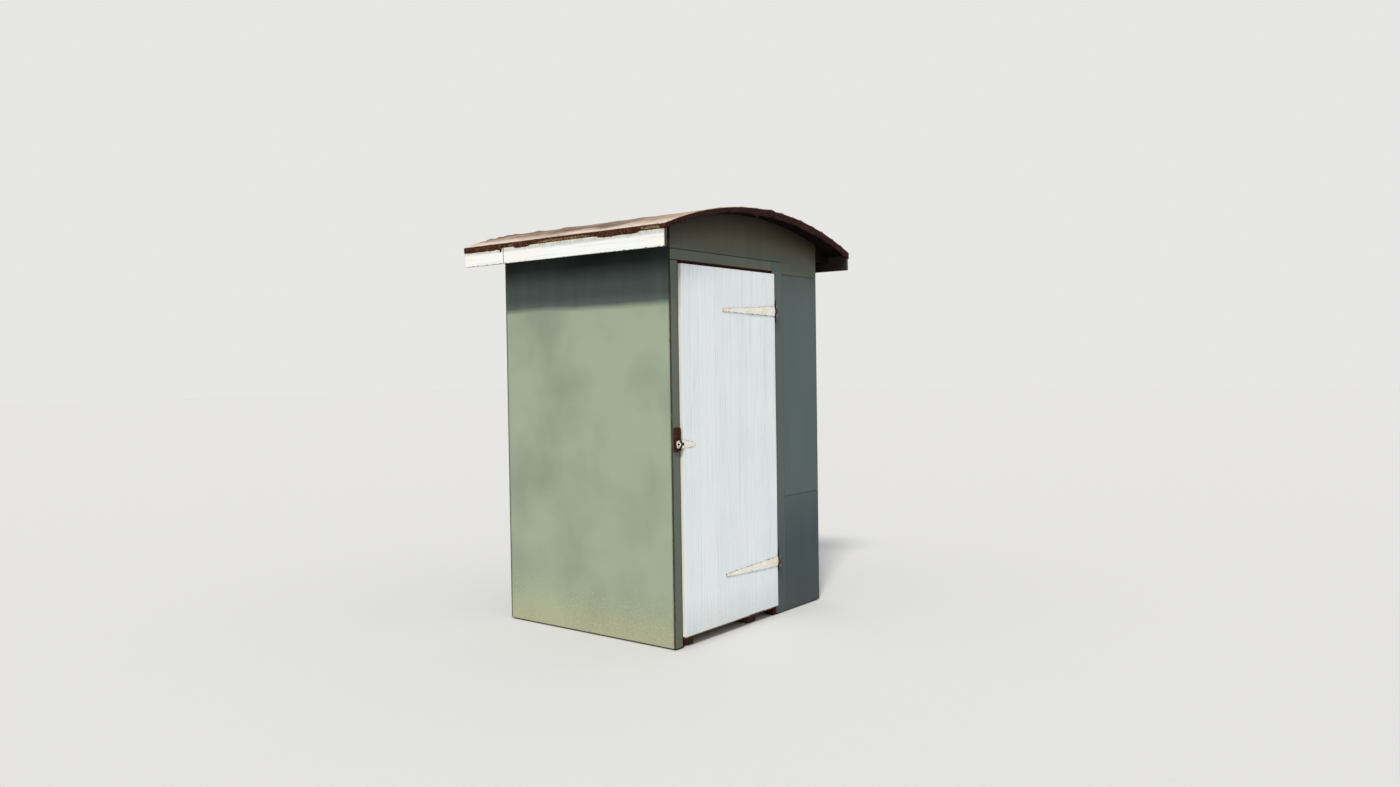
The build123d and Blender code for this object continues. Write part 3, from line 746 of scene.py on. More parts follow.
def left_fold(y):
    """How far the felt hangs over the left eave: torn off at the bend in places, so that the board edge shows."""
    drop = np.interp(y, HANG_AT, HANG) + 1.6 * ragged(y, 24 * MM, 3) + 1.2 * ragged(y, 9 * MM, 4)
    return (drop + 22 * np.exp(-(((y - 0.432) / (6 * MM)) ** 2))) * MM


def right_fold(y):
    """How far the felt hangs over the right eave, a little ragged."""
    return (38 + 5 * ragged(y, 75 * MM, 6) + 2 * ragged(y, 15 * MM, 7)) * MM


def lap_edge(y):
    """The loose edge of the upper strip at the crown, cut by hand."""
    return (3 * ragged(y, 90 * MM, 8) + 1.5 * ragged(y, 20 * MM, 9)) * MM


def over_lap(s):
    """The right strip rises by its own thickness where it lies on the left one."""
    return FELT * np.clip((LAP + 25 * MM - s) / (25 * MM), 0, 1)


def laid_flat(s):
    """The left strip lies on the boards."""
    return 0 * s


# one torn tongue hangs over the front, left of the middle
TONGUE = (-98 * MM, 6 * MM, 27 * MM)
left_felt = felt_sheet("felt_left", -EAVE_S, LAP, left_fold, lap_edge, laid_flat, (TONGUE,), 41, "roof_felt")
right_felt = felt_sheet("felt_right", 0.0, EAVE_S, lap_edge, right_fold, over_lap, (), 51)

# Clout nails round the border of the roof and along the lap
CLOUT_IN = 14 * MM
# in millimetres
CLOUT_STEP = 85
clout_rows = [
    coordinates(np.arange(-8, 9) * CLOUT_STEP * MM, s) for s in (-EAVE_S + CLOUT_IN, EAVE_S - CLOUT_IN, CLOUT_IN)
] + [
    coordinates(y, np.arange(-10, 11) * CLOUT_STEP * MM) for y in (-FLAT_Y + CLOUT_IN, FLAT_Y - CLOUT_IN)
]
clout_y, clout_s = np.concatenate(clout_rows).T
chance = np.random.default_rng(71)
clout_y = clout_y + chance.normal(0, 5 * MM, len(clout_y))
clout_s = clout_s + chance.normal(0, 3 * MM, len(clout_s))
clout_up = coordinates(np.sin(clout_s / ROOF_RADIUS), 0.0, np.cos(clout_s / ROOF_RADIUS))
clout_at = coordinates(0.0, clout_y, ROOF_CENTRE) + (ROOF_RADIUS + 0.6 * MM) * clout_up
lapped = (clout_s > 0) & (clout_s < LAP)
clout_at = clout_at + np.where(lapped, FELT, 0)[:, None] * clout_up
clouts = piece("felt_nails", studs(CLOUT, clout_at, clout_up), "root", "dark_iron")

# Door
DOOR_BOARDS = 6
BOARD_GAP = 1.5 * MM
LEAF_FRONT, LEAF_BACK = door_low[1], door_high[1]
LEAF = LEAF_BACK - LEAF_FRONT
BEAD_HALF, BEAD_DEPTH = 2.2 * MM, 3.0 * MM
ARRIS_WIDTH, ARRIS_DEPTH = 2.2 * MM, 1.6 * MM
board_pitch = (door_high[0] - door_low[0] + BOARD_GAP) / DOOR_BOARDS
board_width = board_pitch - BOARD_GAP


def matchboard(first, last):
    """A tongued board seen from above: eased arrises, a bead line down its middle, a groove and a tongue.

    On the front the depth at x is that of the bead, which falls in a straight line with |x|, and of an arris
    that falls away by the square of how near x is to the board's edge.
    """
    half = board_width / 2
    near = np.array((0.0, 0.5, 1.2, 2.2, 4.0, 9.0, 20.0)) * MM
    bead = np.array((0.0, 0.7, 1.4, 2.2, 4.5, 10.0)) * MM
    x = np.concatenate((-half + near, -bead[::-1], bead[1:], (half - near)[::-1]))
    arris = ARRIS_DEPTH * np.clip(1 - (half - np.abs(x)) / ARRIS_WIDTH, 0, 1) ** 2
    cut = arris + BEAD_DEPTH * np.clip(1 - np.abs(x) / BEAD_HALF, 0, 1)
    # the tongue is 6 mm by 6, and the groove 5 mm deep and 7 wide
    mid, thick, wide = LEAF / 2, 3 * MM, 3.5 * MM
    tongue = [(half, mid - thick), (half + 6 * MM, mid - thick), (half + 6 * MM, mid + thick), (half, mid + thick)]
    groove = [(-half, mid + wide), (-half + 5 * MM, mid + wide), (-half + 5 * MM, mid - wide), (-half, mid - wide)]
    right = [(half, 4 * MM), *([] if last else tongue), (half, LEAF - 1 * MM)]
    left = [(-half, LEAF - 1 * MM), *([] if first else groove), (-half, 4 * MM)]
    back = coordinates(np.linspace(half - 1 * MM, -half + 1 * MM, 9), LEAF)
    section = np.concatenate((coordinates(x, cut), right, back, left))
    others = len(section) - len(x)
    deep = np.append(np.clip(cut / (2 * MM), 0, 1), np.zeros(others))
    beside = np.repeat((0.0, 1.0), (len(x), others))
    from_joint = np.minimum(half - np.abs(section[:, 0]), np.where(beside > 0, 9, np.abs(section[:, 0])))
    return section, deep, beside, np.clip(from_joint, 0, 1)


door_shapes, door_values = [], []
chance = np.random.default_rng(81)
for count in range(DOOR_BOARDS):
    section, deep, beside, from_joint = matchboard(count == 0, count == DOOR_BOARDS - 1)
    middle = door_low[0] + board_width / 2 + count * board_pitch
    foot = door_low[2] + chance.uniform(-3, 2) * MM
    top = door_high[2]
    z = foot + spaced(top - foot, 45 * MM, rim=(1.5, 5.0, 15.0))[:, None]
    sway_x = 0.25 * MM * waves(z, 0, 1.1, 500 + count, octaves=2)
    sway_y = 0.8 * MM * waves(z, 0, 1.4, 520 + count, octaves=2) * np.clip((top - z) / 0.1, 0, 1)
    cup = chance.uniform(-0.5, 0.7) * MM * (1 - (2 * section[:, 0] / board_width) ** 2)
    out = chance.uniform(-0.6, 0.6) * MM
    # only the front sways out and in, so the joints stay closed
    forward = (1 - beside) * (cup + out + sway_y)
    rings = coordinates(middle + section[:, 0] + sway_x, LEAF_FRONT + section[:, 1] - forward, z)
    edge = np.minimum(from_joint, np.minimum(z - foot, top - z))
    door_shapes.append(sweep(rings))
    door_values.append(coordinates(deep, beside, edge, chance.uniform(0, 1)).reshape(-1, 4))
door_values = dict(zip(("groove", "side", "edge", "board"), np.concatenate(door_values).T))
door = piece("door_leaf", gather(door_shapes), "door", "white_door", "door_boards", values=door_values)

# Nails through the door boards into the ledges behind the hinges, four where each board crosses one
HINGE_Z = {"lower": 0.316, "upper": 1.747}
NAIL_ACROSS, NAIL_UP = 36 * MM, 37 * MM
HEAD_Y = LEAF_FRONT + 0.2 * MM
board_x = door_low[0] + board_width / 2 + np.arange(DOOR_BOARDS) * board_pitch
nail_x = np.sort(np.concatenate((board_x - NAIL_ACROSS, board_x + NAIL_ACROSS)))
door_places = np.concatenate([
    coordinates(nail_x, HEAD_Y, height + offset) for height in HINGE_Z.values() for offset in (-NAIL_UP, NAIL_UP)
])
door_nails = nails("door_nails", "door", "white_door", hand_nailed(door_places, -Y, 82, 2.0 * MM))


# Ironwork
def arc(centre, radius, start, end, count):
    """Points of an arc in plan from one angle to another in degrees, and the way outward at each."""
    angle = np.radians(np.linspace(start, end, count))
    way = coordinates(np.cos(angle), np.sin(angle))
    return np.array(centre) + radius * way, way


def straight(x, y, way=1.0):
    """Points in plan along a line at one depth y, and the same way along Y at each."""
    return coordinates(x, y), coordinates(0.0 * np.asarray(x), way)


def route(*runs):
    """Runs of points, each with the ways at its points, as one."""
    return [np.concatenate(part) for part in zip(*runs)]


def ribbon(path, way, low, high, thickness, columns=7, relief=0.0, seed=1):
    """A strip of iron on edge: the point at u, v is path(u) + Z (low(u) + v (high(u) - low(u))).

    The strip is half its thickness to either side of that, along way(u), and its back has a slight relief.
    """
    v = np.concatenate(([0.0, 0.04, 0.12], np.linspace(0.25, 0.75, columns - 6), [0.88, 0.96, 1.0]))
    low, high = (np.broadcast_to(z, len(path))[:, None] for z in (low, high))
    height = low + v * (high - low)
    middle = coordinates(path[:, :1], path[:, 1:], height)
    away = coordinates(way[:, :1], way[:, 1:], 0 * height)
    s = np.append(0.0, np.cumsum(np.linalg.norm(np.diff(path, axis=0), axis=1)))[:, None]
    edge = np.minimum(np.minimum(height - low, high - height), np.minimum(s, s[-1] - s) + 1.0 * MM)
    dent = relief * waves(s, height, 0.06, seed, octaves=2)
    front = middle + away * (thickness / 2)
    back = middle - away * (thickness / 2 + dent)[..., None]
    return slab(front, back), np.tile(edge.ravel(), 2)


# what counts as far from an edge
NO_EDGE = 9 * MM


def iron(name, strips, solids, *where, bevel=0.8 * MM, worn=None):
    """One piece from strips, which carry their edges, and from turned or bent parts, which are all far from one.

    worn, if given, says how bare the paint is at each point.
    """
    parts = strips + [(solid, np.full(len(solid[0]), NO_EDGE)) for solid in solids]
    shape = gather([shape for shape, _ in parts])
    values = {"edge": np.concatenate([edge for _, edge in parts])}
    values["bare"] = worn(shape[0]) if worn else np.zeros(len(shape[0]))
    return piece(name, shape, *where, values=values, bevel=bevel)


def both_ends(profile):
    """A turned profile from its upper end down, and the same again below."""
    return (*profile, *((reach, -rise) for reach, rise in reversed(profile)))


BOLT_HEAD = ((0, 3.6), (2.2, 3.4), (4.4, 2.7), (6.0, 1.5), (6.8, 0.0), (6.8, -0.5), (0, -0.5))
SCREW_HEAD = ((0, 1.1), (1.5, 1.0), (2.9, 0.6), (3.7, 0.0), (3.7, -0.5), (0, -0.5))
NUT = ((0, 5.4), (4.6, 5.4), (5.6, 4.8), (5.6, 0.8), (0, 0.8))
WASHER = ((0, 1.2), (7.8, 1.2), (9.0, 0.9), (9.0, 0.0), (9.0, -0.4), (0, -0.4))
HINGE_PIN = both_ends(((0, 41.5), (2.6, 41.3), (4.6, 40.2), (5.0, 38.9), (4.0, 38.7)))
HASP_PIN = both_ends(((0, 22.6), (2.4, 22.4), (3.2, 21.6), (2.4, 21.4)))
# a round tip, from near its point to where it is full width
NOSE = np.radians(np.linspace(12, 90, 9))
HINGE_Y = LEAF_FRONT - 8 * MM
# the upper strap was bent down a little along its length
STRAP_DROOP = {"lower": 0.0, "upper": 10 * MM}
STRAP = 4 * MM
EYE = 6 * MM
TIP_X, ROOT_X = HINGE_X - 510 * MM, HINGE_X - 10 * MM
# half the height of a strap at its tip, at its root and round its pin
TIP, ROOT, KNUCKLE = 8.5 * MM, 27.5 * MM, 12.5 * MM
BOLTS_X = HINGE_X - np.array((38, 150, 290, 420)) * MM
PLATE_X = HINGE_X + 29 * MM
PLATE_HALF = 65 * MM
# the lower and upper ends of a plate's two eyes, in millimetres from its middle
EYES = ((13.5, 38.5), (-38.5, -13.5))
PLATE_SCREWS_X = HINGE_X + 19 * MM
PLATE_SCREWS_UP = np.array((-52, -26, 26, 52)) * MM
pieces_by_finish = {"strap": [], "plate": []}
nut_places = []
for label, height in HINGE_Z.items():
    # The strap: a round tip, a taper, and an eye rolled round the pin
    nose_x = TIP_X + TIP * (1 - np.cos(NOSE))
    taper_x = np.linspace(nose_x[-1], HINGE_X - 12 * MM, 60)[1:]
    run_x = np.concatenate((nose_x, taper_x, (HINGE_X - 10.5 * MM, HINGE_X - 5 * MM)))
    path, way = route(straight(run_x, LEAF_FRONT - STRAP / 2), arc((HINGE_X, HINGE_Y), EYE, 90, -225, 26))
    half = np.interp(path[:, 0], (TIP_X + TIP, ROOT_X), (TIP, ROOT))
    half[: len(NOSE)] = TIP * np.sin(NOSE)
    half[len(run_x) - 2 :] = KNUCKLE
    middle, bolts_z = (
        height - np.interp(x, (TIP_X + TIP, ROOT_X), (STRAP_DROOP[label], 0.0)) for x in (path[:, 0], BOLTS_X)
    )
    pieces_by_finish["strap"].append(iron(
        f"{label}_strap", [ribbon(path, way, middle - half, middle + half, STRAP, 11, 0.25 * MM, 91)],
        [studs(BOLT_HEAD, coordinates(BOLTS_X, LEAF_FRONT - STRAP, bolts_z), -Y, 18)],
        "door", "painted_iron", f"strap_{label}",
        worn=lambda points: np.clip((points[:, 0] - (HINGE_X - 9.5 * MM)) / (1.5 * MM), 0, 1.6),
    ))
    ledge_low, ledge_high = span(f"door_ledge_{label}")
    behind = np.where((BOLTS_X > ledge_low[0]) & (BOLTS_X < ledge_high[0]), ledge_high[1], LEAF_BACK)
    nut_places.append(coordinates(BOLTS_X, behind, bolts_z))

    # Its plate on the post: a foot, a web and two eyes that hold the pin
    foot_y = FRONT_Y - STRAP / 2
    bend, bend_way = arc((HINGE_X + 9 * MM, foot_y - 3 * MM), 3 * MM, 90, 180, 6)
    lug = route(
        straight(np.linspace(PLATE_X, HINGE_X + 9 * MM, 8), foot_y, -1.0), (bend[1:], -bend_way[1:]),
        arc((HINGE_X, HINGE_Y), EYE, 0, -315, 26),
    )
    base = straight(np.linspace(PLATE_X, HINGE_X + 4.5 * MM, 10), foot_y, -1.0)
    strips = [ribbon(*base, height - PLATE_HALF, height + PLATE_HALF, STRAP, 15, 0.15 * MM, 93)]
    strips += [ribbon(*lug, height + low * MM, height + high * MM, STRAP, seed=92) for low, high in EYES]
    pieces_by_finish["plate"].append(iron(
        f"{label}_hinge_plate", strips, [
            studs(HINGE_PIN, [(HINGE_X, HINGE_Y, height)], Z, 20),
            studs(SCREW_HEAD, coordinates(PLATE_SCREWS_X, FRONT_Y - STRAP, height + PLATE_SCREWS_UP), -Y, 14),
        ],
        "root", "dark_iron", f"hinge_plate_{label}",
        worn=lambda points: np.clip((points[:, 1] - (HINGE_Y - 5 * MM)) / (2 * MM), 0, 1.8),
    ))

# Nuts and washers on the back of the door, a nail left in its front, and the nails in the floor
nut_places = np.concatenate(nut_places)
washers_and_nuts = gather([studs(WASHER, nut_places, Y, 20), studs(NUT, nut_places, Y, 6)])
strap_nuts = piece("strap_nuts", washers_and_nuts, "door", "dark_iron")
bare_nail = piece("bare_nail", studs(PAINTED_NAIL, [(-0.1685, HEAD_Y, 1.470)], -Y), "door", "dark_iron")
bearer_x = np.array([span(label)[0][0] + span(label)[1][0] for label in TIMBER_AXES if "bearer" in label]) / 2
board_y = floor_low[1] + (np.arange(FLOOR_BOARDS) + 0.5) * floor_pitch
floor_x, floor_y = np.meshgrid(bearer_x, np.concatenate((board_y - 40 * MM, board_y + 40 * MM)))
floor_places = coordinates(floor_x.ravel(), floor_y.ravel(), floor_high[2] - 0.3 * MM)
floor_nails = piece("floor_nails", hand_nailed(floor_places, Z, 83, 3 * MM), "root", "dark_iron")

# Hasp plate
HASP_Z = 1.046
HASP_X, HASP_Y = door_low[0] - 8 * MM, LEAF_FRONT - 5 * MM
HASP = 3 * MM
HASP_TIP_X = HASP_X + 107 * MM
HASP_TIP, HASP_ROOT = 12.5 * MM, 21.5 * MM
HASP_EYES = ((8.25, 21.5), (-21.5, -8.25))
nose_x = HASP_TIP_X - HASP_TIP * (1 - np.cos(NOSE))
taper_x = np.append(np.linspace(nose_x[-1], HASP_X + 8.5 * MM, 24)[1:], HASP_X + 7 * MM)
run_x = np.concatenate((nose_x, taper_x))
half = np.append(HASP_TIP * np.sin(NOSE), np.interp(taper_x, (HASP_X + 7 * MM, nose_x[-1]), (HASP_ROOT, HASP_TIP)))
# its tip was knocked down a little
middle = HASP_Z - np.interp(run_x, (HASP_X + 12 * MM, HASP_TIP_X), (0.0, 7 * MM))
plate_y = LEAF_FRONT - HASP / 2
strips = [ribbon(*straight(run_x, plate_y), middle - half, middle + half, HASP, 11, 0.15 * MM, 94)]
eye = route(straight((HASP_X + 8.5 * MM, HASP_X + 4 * MM), plate_y), arc((HASP_X, HASP_Y), 3.5 * MM, 90, 405, 22))
strips += [ribbon(*eye, HASP_Z + low * MM, HASP_Z + high * MM, HASP, seed=95) for low, high in HASP_EYES]
screw_x, screw_z = np.array(((20, 20, 58, 92), (11, -11, -3, -6))) * MM
hasp_plate = iron(
    "hasp_strap", strips, [
        studs(HASP_PIN, [(HASP_X, HASP_Y, HASP_Z)], Z, 16),
        studs(SCREW_HEAD, coordinates(HASP_X + screw_x, LEAF_FRONT - HASP, HASP_Z + screw_z), -Y, 14),
    ],
    "door", "painted_iron", "hasp_plate", bevel=0.6 * MM,
)


# Hasp leaf
def round_rectangle(low, high, radii, steps=6, side=5):
    """A rectangle in the plane of X and Z with a radius at each corner, from its lower left corner round."""
    (x0, z0), (x1, z1) = low, high
    corners = ((x0, z0, 1, 1, 180), (x1, z0, -1, 1, 270), (x1, z1, -1, -1, 0), (x0, z1, 1, -1, 90))
    runs = [
        arc((x + sx * radius, z + sz * radius), radius, start, start + 90, steps)[0]
        for (x, z, sx, sz, start), radius in zip(corners, radii)
    ]
    points = []
    for run, after in zip(runs, runs[1:] + runs[:1]):
        points += [run, run[-1] + np.linspace(0, 1, side + 2)[1:-1, None] * (after[0] - run[-1])]
    return np.concatenate(points)


def slotted_plate(outer, inner, y_back, y_front, ease=0.7 * MM):
    """A flat plate with a slot: the point at u, v goes round the outline with u and round its metal with v.

    v runs from the outline in to the slot on the front and out again on the back, with both rims eased.
    """
    share = np.array((0.0, 0.12, 0.5, 0.88, 1.0))
    x, z = (outer[:, None] + share[:, None] * (inner - outer)[:, None]).transpose(2, 0, 1)
    eased = np.array((ease, 0, 0, 0, ease))
    rings = np.concatenate((coordinates(x, y_front + eased, z), coordinates(x, y_back - eased, z)[:, ::-1]), axis=1)
    gap = np.linalg.norm(inner - outer, axis=1)[:, None] * np.minimum(share, 1 - share)
    return hoop(rings), np.append(gap, gap[:, ::-1], axis=1).ravel()


def collar(centre, low, high, outer_radius, inner_radius, ease=0.4):
    """A short tube on end: a rectangle with eased corners carried round the axis."""
    reach, height = np.array((
        (inner_radius, low + ease), (inner_radius, high - ease), (inner_radius + ease, high),
        (outer_radius - ease, high), (outer_radius, high - ease), (outer_radius, low + ease),
        (outer_radius - ease, low), (inner_radius + ease, low),
    )).T * MM
    turn = np.linspace(0, 2 * pi, 24, endpoint=False)[:, None]
    x, y, z = centre
    return hoop(coordinates(x + reach * np.cos(turn), y + reach * np.sin(turn), z + height))


STAPLE_X = casing_low[0] + 20 * MM
LEAF_HALF, SLOT_HALF, NECK_HALF = 19 * MM, 13.5 * MM, 7.5 * MM
leaf_back = LEAF_FRONT - 1.5 * MM
leaf_outline = round_rectangle(
    (HASP_X - 52 * MM, HASP_Z - LEAF_HALF), (HASP_X - 6.5 * MM, HASP_Z + LEAF_HALF), np.array((14, 4, 4, 14)) * MM
)
slot_outline = round_rectangle(
    (STAPLE_X - 7 * MM, HASP_Z - SLOT_HALF), (STAPLE_X + 7 * MM, HASP_Z + SLOT_HALF), np.full(4, 5 * MM)
)
neck = straight(HASP_X - np.array((8, 5, 3)) * MM, leaf_back - HASP / 2)
hasp_leaf = iron(
    "slotted_leaf", [
        slotted_plate(leaf_outline, slot_outline, leaf_back, leaf_back - HASP),
        ribbon(*neck, HASP_Z - NECK_HALF, HASP_Z + NECK_HALF, HASP - 0.4 * MM),
    ],
    [collar((HASP_X, HASP_Y, HASP_Z), -7.5, 7.5, 5.0, 2.75)], "hasp", "painted_iron", "hasp_leaf", bevel=0.0,
    worn=lambda points: np.clip((points[:, 0] - (HASP_X - 29 * MM)) / (3 * MM), 0, 1.4),
)


# Staple and its block
def wire(path, radius, around=14):
    """A bent round wire: a circle of the wire's radius carried along a path in the plane of Y and Z."""
    ahead = np.gradient(path, axis=0)
    ahead = ahead / np.linalg.norm(ahead, axis=1, keepdims=True)
    return sweep(path[:, None] + radius * spokes(around, X[None], np.cross(ahead, X)))


BEND_RADIUS, WIRE = 8 * MM, 2.5 * MM
STANDS_OUT = 14 * MM
# the middle of its wire where it stands out most from the leaf
staple_end = leaf_back - HASP - STANDS_OUT + WIRE
bend, _ = arc((staple_end + BEND_RADIUS, HASP_Z), BEND_RADIUS, 90, 270, 17)
legs = np.linspace(block_low[1] + 2 * MM, staple_end + BEND_RADIUS, 7)[:-1]
staple_yz = np.concatenate((
    coordinates(legs, HASP_Z + BEND_RADIUS), bend, coordinates(legs[::-1], HASP_Z - BEND_RADIUS)
))
staple_wire = wire(coordinates(STAPLE_X, *staple_yz.T), WIRE)
staple_values = {"edge": np.full(len(staple_wire[0]), NO_EDGE)}
staple = piece("wire_staple", staple_wire, "root", "painted_iron", "staple", values=staple_values)
block_wood = box_plank(block_low, block_high, 2, 350, radius=2.5 * MM, wander=0.5 * MM, step=20 * MM)
block = boards("wood_block", [block_wood], "root", "brown_block", "staple_block")


# Colours and nodes
def colour(code):
    """A hex colour as screens show it, turned to linear light."""
    channels = [int(code[i : i + 2], 16) / 255 for i in (1, 3, 5)]
    return (*[c / 12.92 if c <= 0.04045 else ((c + 0.055) / 1.055) ** 2.4 for c in channels], 1.0)


def per(size):
    """Pattern scale for features of a real size in millimetres."""
    return 1000 / size


def along_grain(axis, fine, coarse):
    """Three pattern scales, the coarse one along the grain."""
    scales = [per(fine)] * 3
    scales[axis] = per(coarse)
    return tuple(scales)


# Short names of the nodes in use: what each is, and what it is set to at first. Inputs given in order are, for a
# noise, where, its scale, its detail and its roughness, and for a range, a value, its ends and what they turn to
NODES = {
    "place": ("TexCoord", {}),
    "carried": ("Attribute", {}),
    "split": ("SeparateXYZ", {}),
    "join": ("CombineXYZ", {}),
    "map": ("Mapping", {}),
    "noise": ("TexNoise", {}),
    "cells": ("TexVoronoi", {}),
    "rings": ("TexWave", {"wave_type": "RINGS"}),
    "range": ("MapRange", {}),
    "ramp": ("ValToRGB", {}),
    "mix": ("Mix", {"data_type": "RGBA"}),
    "add": ("Math", {"operation": "ADD"}),
    "times": ("Math", {"operation": "MULTIPLY"}),
    "times add": ("Math", {"operation": "MULTIPLY_ADD"}),
    "larger": ("Math", {"operation": "MAXIMUM"}),
    "size": ("Math", {"operation": "ABSOLUTE"}),
    "bump": ("Bump", {}),
    "shader": ("BsdfPrincipled", {}),
    "finish": ("OutputMaterial", {}),
    "rays": ("LightPath", {}),
    "sky": ("Background", {}),
    "surround": ("OutputWorld", {}),
}


def node(tree, kind, inputs=(), out=None, stops=(), **settings):
    """Add a node, set its properties, and fill its inputs, in order or by name, with values, hex colours and links.

    Gives back the output named by out, or else the first one in use.
    """
    label, usual = NODES[kind]
    made = tree.nodes.new(f"ShaderNode{label}")
    for name, value in (usual | settings).items():
        setattr(made, name, value)
    sockets = [socket for socket in made.inputs if socket.enabled]
    for name, value in inputs.items() if isinstance(inputs, dict) else enumerate(inputs):
        socket = sockets[name] if isinstance(name, int) else next(s for s in sockets if s.name == name)
        if isinstance(value, bpy.types.NodeSocket):
            tree.links.new(value, socket)
        else:
            socket.default_value = colour(value) if isinstance(value, str) else value
    for number, (position, shade) in enumerate(stops):
        ramp = made.color_ramp.elements
        stop = ramp[number] if number < 2 else ramp.new(position)
        stop.position = position
        stop.color = colour(shade)
    return next((s for s in made.outputs if s.enabled and out in (None, s.name)), None)


def material(name, *labels):
    """A new material, what adds a node to it, the place on the object that its patterns follow, and named values."""
    made = bpy.data.materials.new(name)
    made.use_nodes = True
    made.node_tree.nodes.clear()
    add = partial(node, made.node_tree)
    return made, add, add("place", out="Object"), *(add("carried", out="Fac", attribute_name=label) for label in labels)


def coats(add, paint, *layers):
    """Paint under a run of layers, each a colour and where it lies: a value, or one with the range that it covers."""
    for shade, *where in layers:
        where = add("range", where) if len(where) > 1 else where[0]
        paint = add("mix", (where, paint, shade))
    return paint


def surface(add, paint, rough, relief, distance, strength=0.5, gloss=0.5, metal=0.0):
    """The shader at the end of every material, with its relief in metres. Dusty, porous faces have less gloss."""
    bump = add("bump", {"Height": relief, "Strength": strength, "Distance": distance})
    shader = add("shader", {
        "Base Color": paint, "Metallic": metal, "Roughness": rough, "Specular IOR Level": gloss, "Normal": bump,
    })
    add("finish", {"Surface": shader})


def house_paint(
    name, upper_colour, lower_colour, change_height, change_width=0.035, soil_and_bounce="#8A7653", soil_and_bounce_amount=0.55, streak_amount=0.05,
    shelter_dirt="#14120E", shelter_amount=0.75, seam_amount=0.32, seam_width=0.007, seam="#3A3B33", least_share=0.86,
):
    """Oil house paint rolled on hardboard: flat and even. Its colours above and below a height paint light and shade.

    The eye sees a fine stipple from the roller, faint rain marks, splashed dirt near the ground, which on the left wall
    also paints light thrown up from the ground, painted shade under the eaves, and a little brown board where the paint
    is chipped off the edges.
    """
    made, add, at, edge, back, shelter = material(name, "edge", "back", "shelter")
    mottle = add("noise", (at, per(420), 3.0))
    tall = add("map", {"Vector": at, "Scale": along_grain(2, 70, 900)})
    streak = add("noise", (tall, 1.0, 4.0))
    # the roller's stipple is 1 to 2 mm, drawn at 4 mm so that it shows
    stipple = add("noise", (at, per(4), 2.0))
    spots = add("noise", (at, per(22), 6.0))
    drops = add("noise", (at, per(9), 3.0, 0.6))
    wander = add("times add", (mottle, 0.03, add("split", (at,), "Z")))
    # below the height the lower colour takes over, less in some patches; the two colours paint light and shade
    lower_share = add("range", (wander, change_height, change_height + change_width, 1.0, 0.0))
    patchy_share = add("range", (mottle, 0.30, 0.62, least_share, 1.0))
    # rain throws dirt up in drops, dense at the foot and sparse higher up; on the left wall its pale colour also paints
    # light thrown up from the ground
    film = add("range", (wander, 0.30, 0.03, 0.0, 0.35 * soil_and_bounce_amount))
    reach = add("range", (wander, 0.48, 0.02, -0.22, 0.06))
    drop = add("range", (add("add", (drops, reach)), 0.50, 0.56, 0.0, soil_and_bounce_amount))
    uneven = add("range", (mottle, 0.35, 0.65, 0.8 * shelter_amount, shelter_amount))
    near = add("range", (edge, 0.004, 0.0, -0.35, 0.0))
    bare = add("range", (add("add", (spots, near)), 0.60, 0.63))
    paint = coats(
        add, upper_colour,
        (lower_colour, add("times", (lower_share, patchy_share))),
        ("#A3AA9E", streak, 0.40, 0.78, 0.0, streak_amount),
        ("#3F4641", stipple, 0.25, 0.75, 0.0, 0.10),
        (soil_and_bounce, add("larger", (film, drop))),
        # painted shade of the eaves, uneven in strength
        (shelter_dirt, add("times", (shelter, uneven))),
        (seam, edge, seam_width, 0.0005, 0.0, seam_amount),
        ("#5A4636", bare),
        # the back of the sheet was never painted
        ("#6E4F36", back, 0.96, 1.0),
    )
    rough = add("range", (mottle, 0.0, 1.0, 0.52, 0.76))
    relief = add("times add", (bare, -0.8, add("times add", (streak, 0.3, stipple))))
    surface(add, paint, rough, relief, 0.0005, gloss=0.2)
    return made


def mineral_felt(name):
    """Bitumen felt faced with mineral grit: dull pinkish grey, patchy, and dark red brown where it is folded."""
    made, add, at, edge, fold = material(name, "edge", "fold")
    patches = add("noise", (at, per(220), 9.0, 0.68))
    # real grit is 1 mm, drawn at 2.5 mm so that it shows
    grit = add("cells", (at, per(2.5)), "Color")
    down = add("map", {"Vector": at, "Scale": along_grain(1, 60, 420)})
    streak = add("noise", (down, 1.0, 7.0, 0.65))
    fine = add("noise", (at, per(12), 5.0))
    patched, dark, brown = (add("ramp", (pattern,), stops=stops) for pattern, stops in (
        (patches, ((0.38, "#66554A"), (0.50, "#89725F"), (0.62, "#AF9A87"))),
        (fine, ((0.34, "#1B0808"), (0.54, "#2C1110"), (0.66, "#432320"))),
        (fine, ((0.34, "#2A1007"), (0.54, "#43230F"), (0.66, "#61402A"))),
    ))
    away = add("size", (add("split", (at,), "X"),))
    length = add("times add", (patches, 0.5, add("split", (at,), "Y")))
    eaves = add("times add", (patches, 0.24, away))
    rim = add("times add", (fine, 0.016, edge))
    paint = coats(
        add, patched,
        # painted sunlight: paler toward the front of the roof, and palest along its edges at the eaves
        ("#D8C3B1", length, 0.0, -0.42, 0.0, 0.45),
        ("#E6D6CA", eaves, 0.88, 0.97, 0.0, 0.8),
        ("#6B584E", streak, 0.54, 0.68, 0.0, 0.50),
        ("#5A4B45", grit, 0.0, 1.0, 0.0, 0.25),
        ("#4A2D25", rim, 0.016, 0.008, 0.0, 0.7),
        # bitumen shows on the folds, and the browner colour on the folds along the eaves paints the sunlight on them
        (coats(add, dark, (brown, away, 0.882, 0.888)), fold, 0.35, 0.95),
    )
    relief = add("times add", (fine, 3.0, grit.node.outputs["Distance"]))
    surface(add, paint, 0.9, relief, 0.0010, gloss=0.15)
    return made


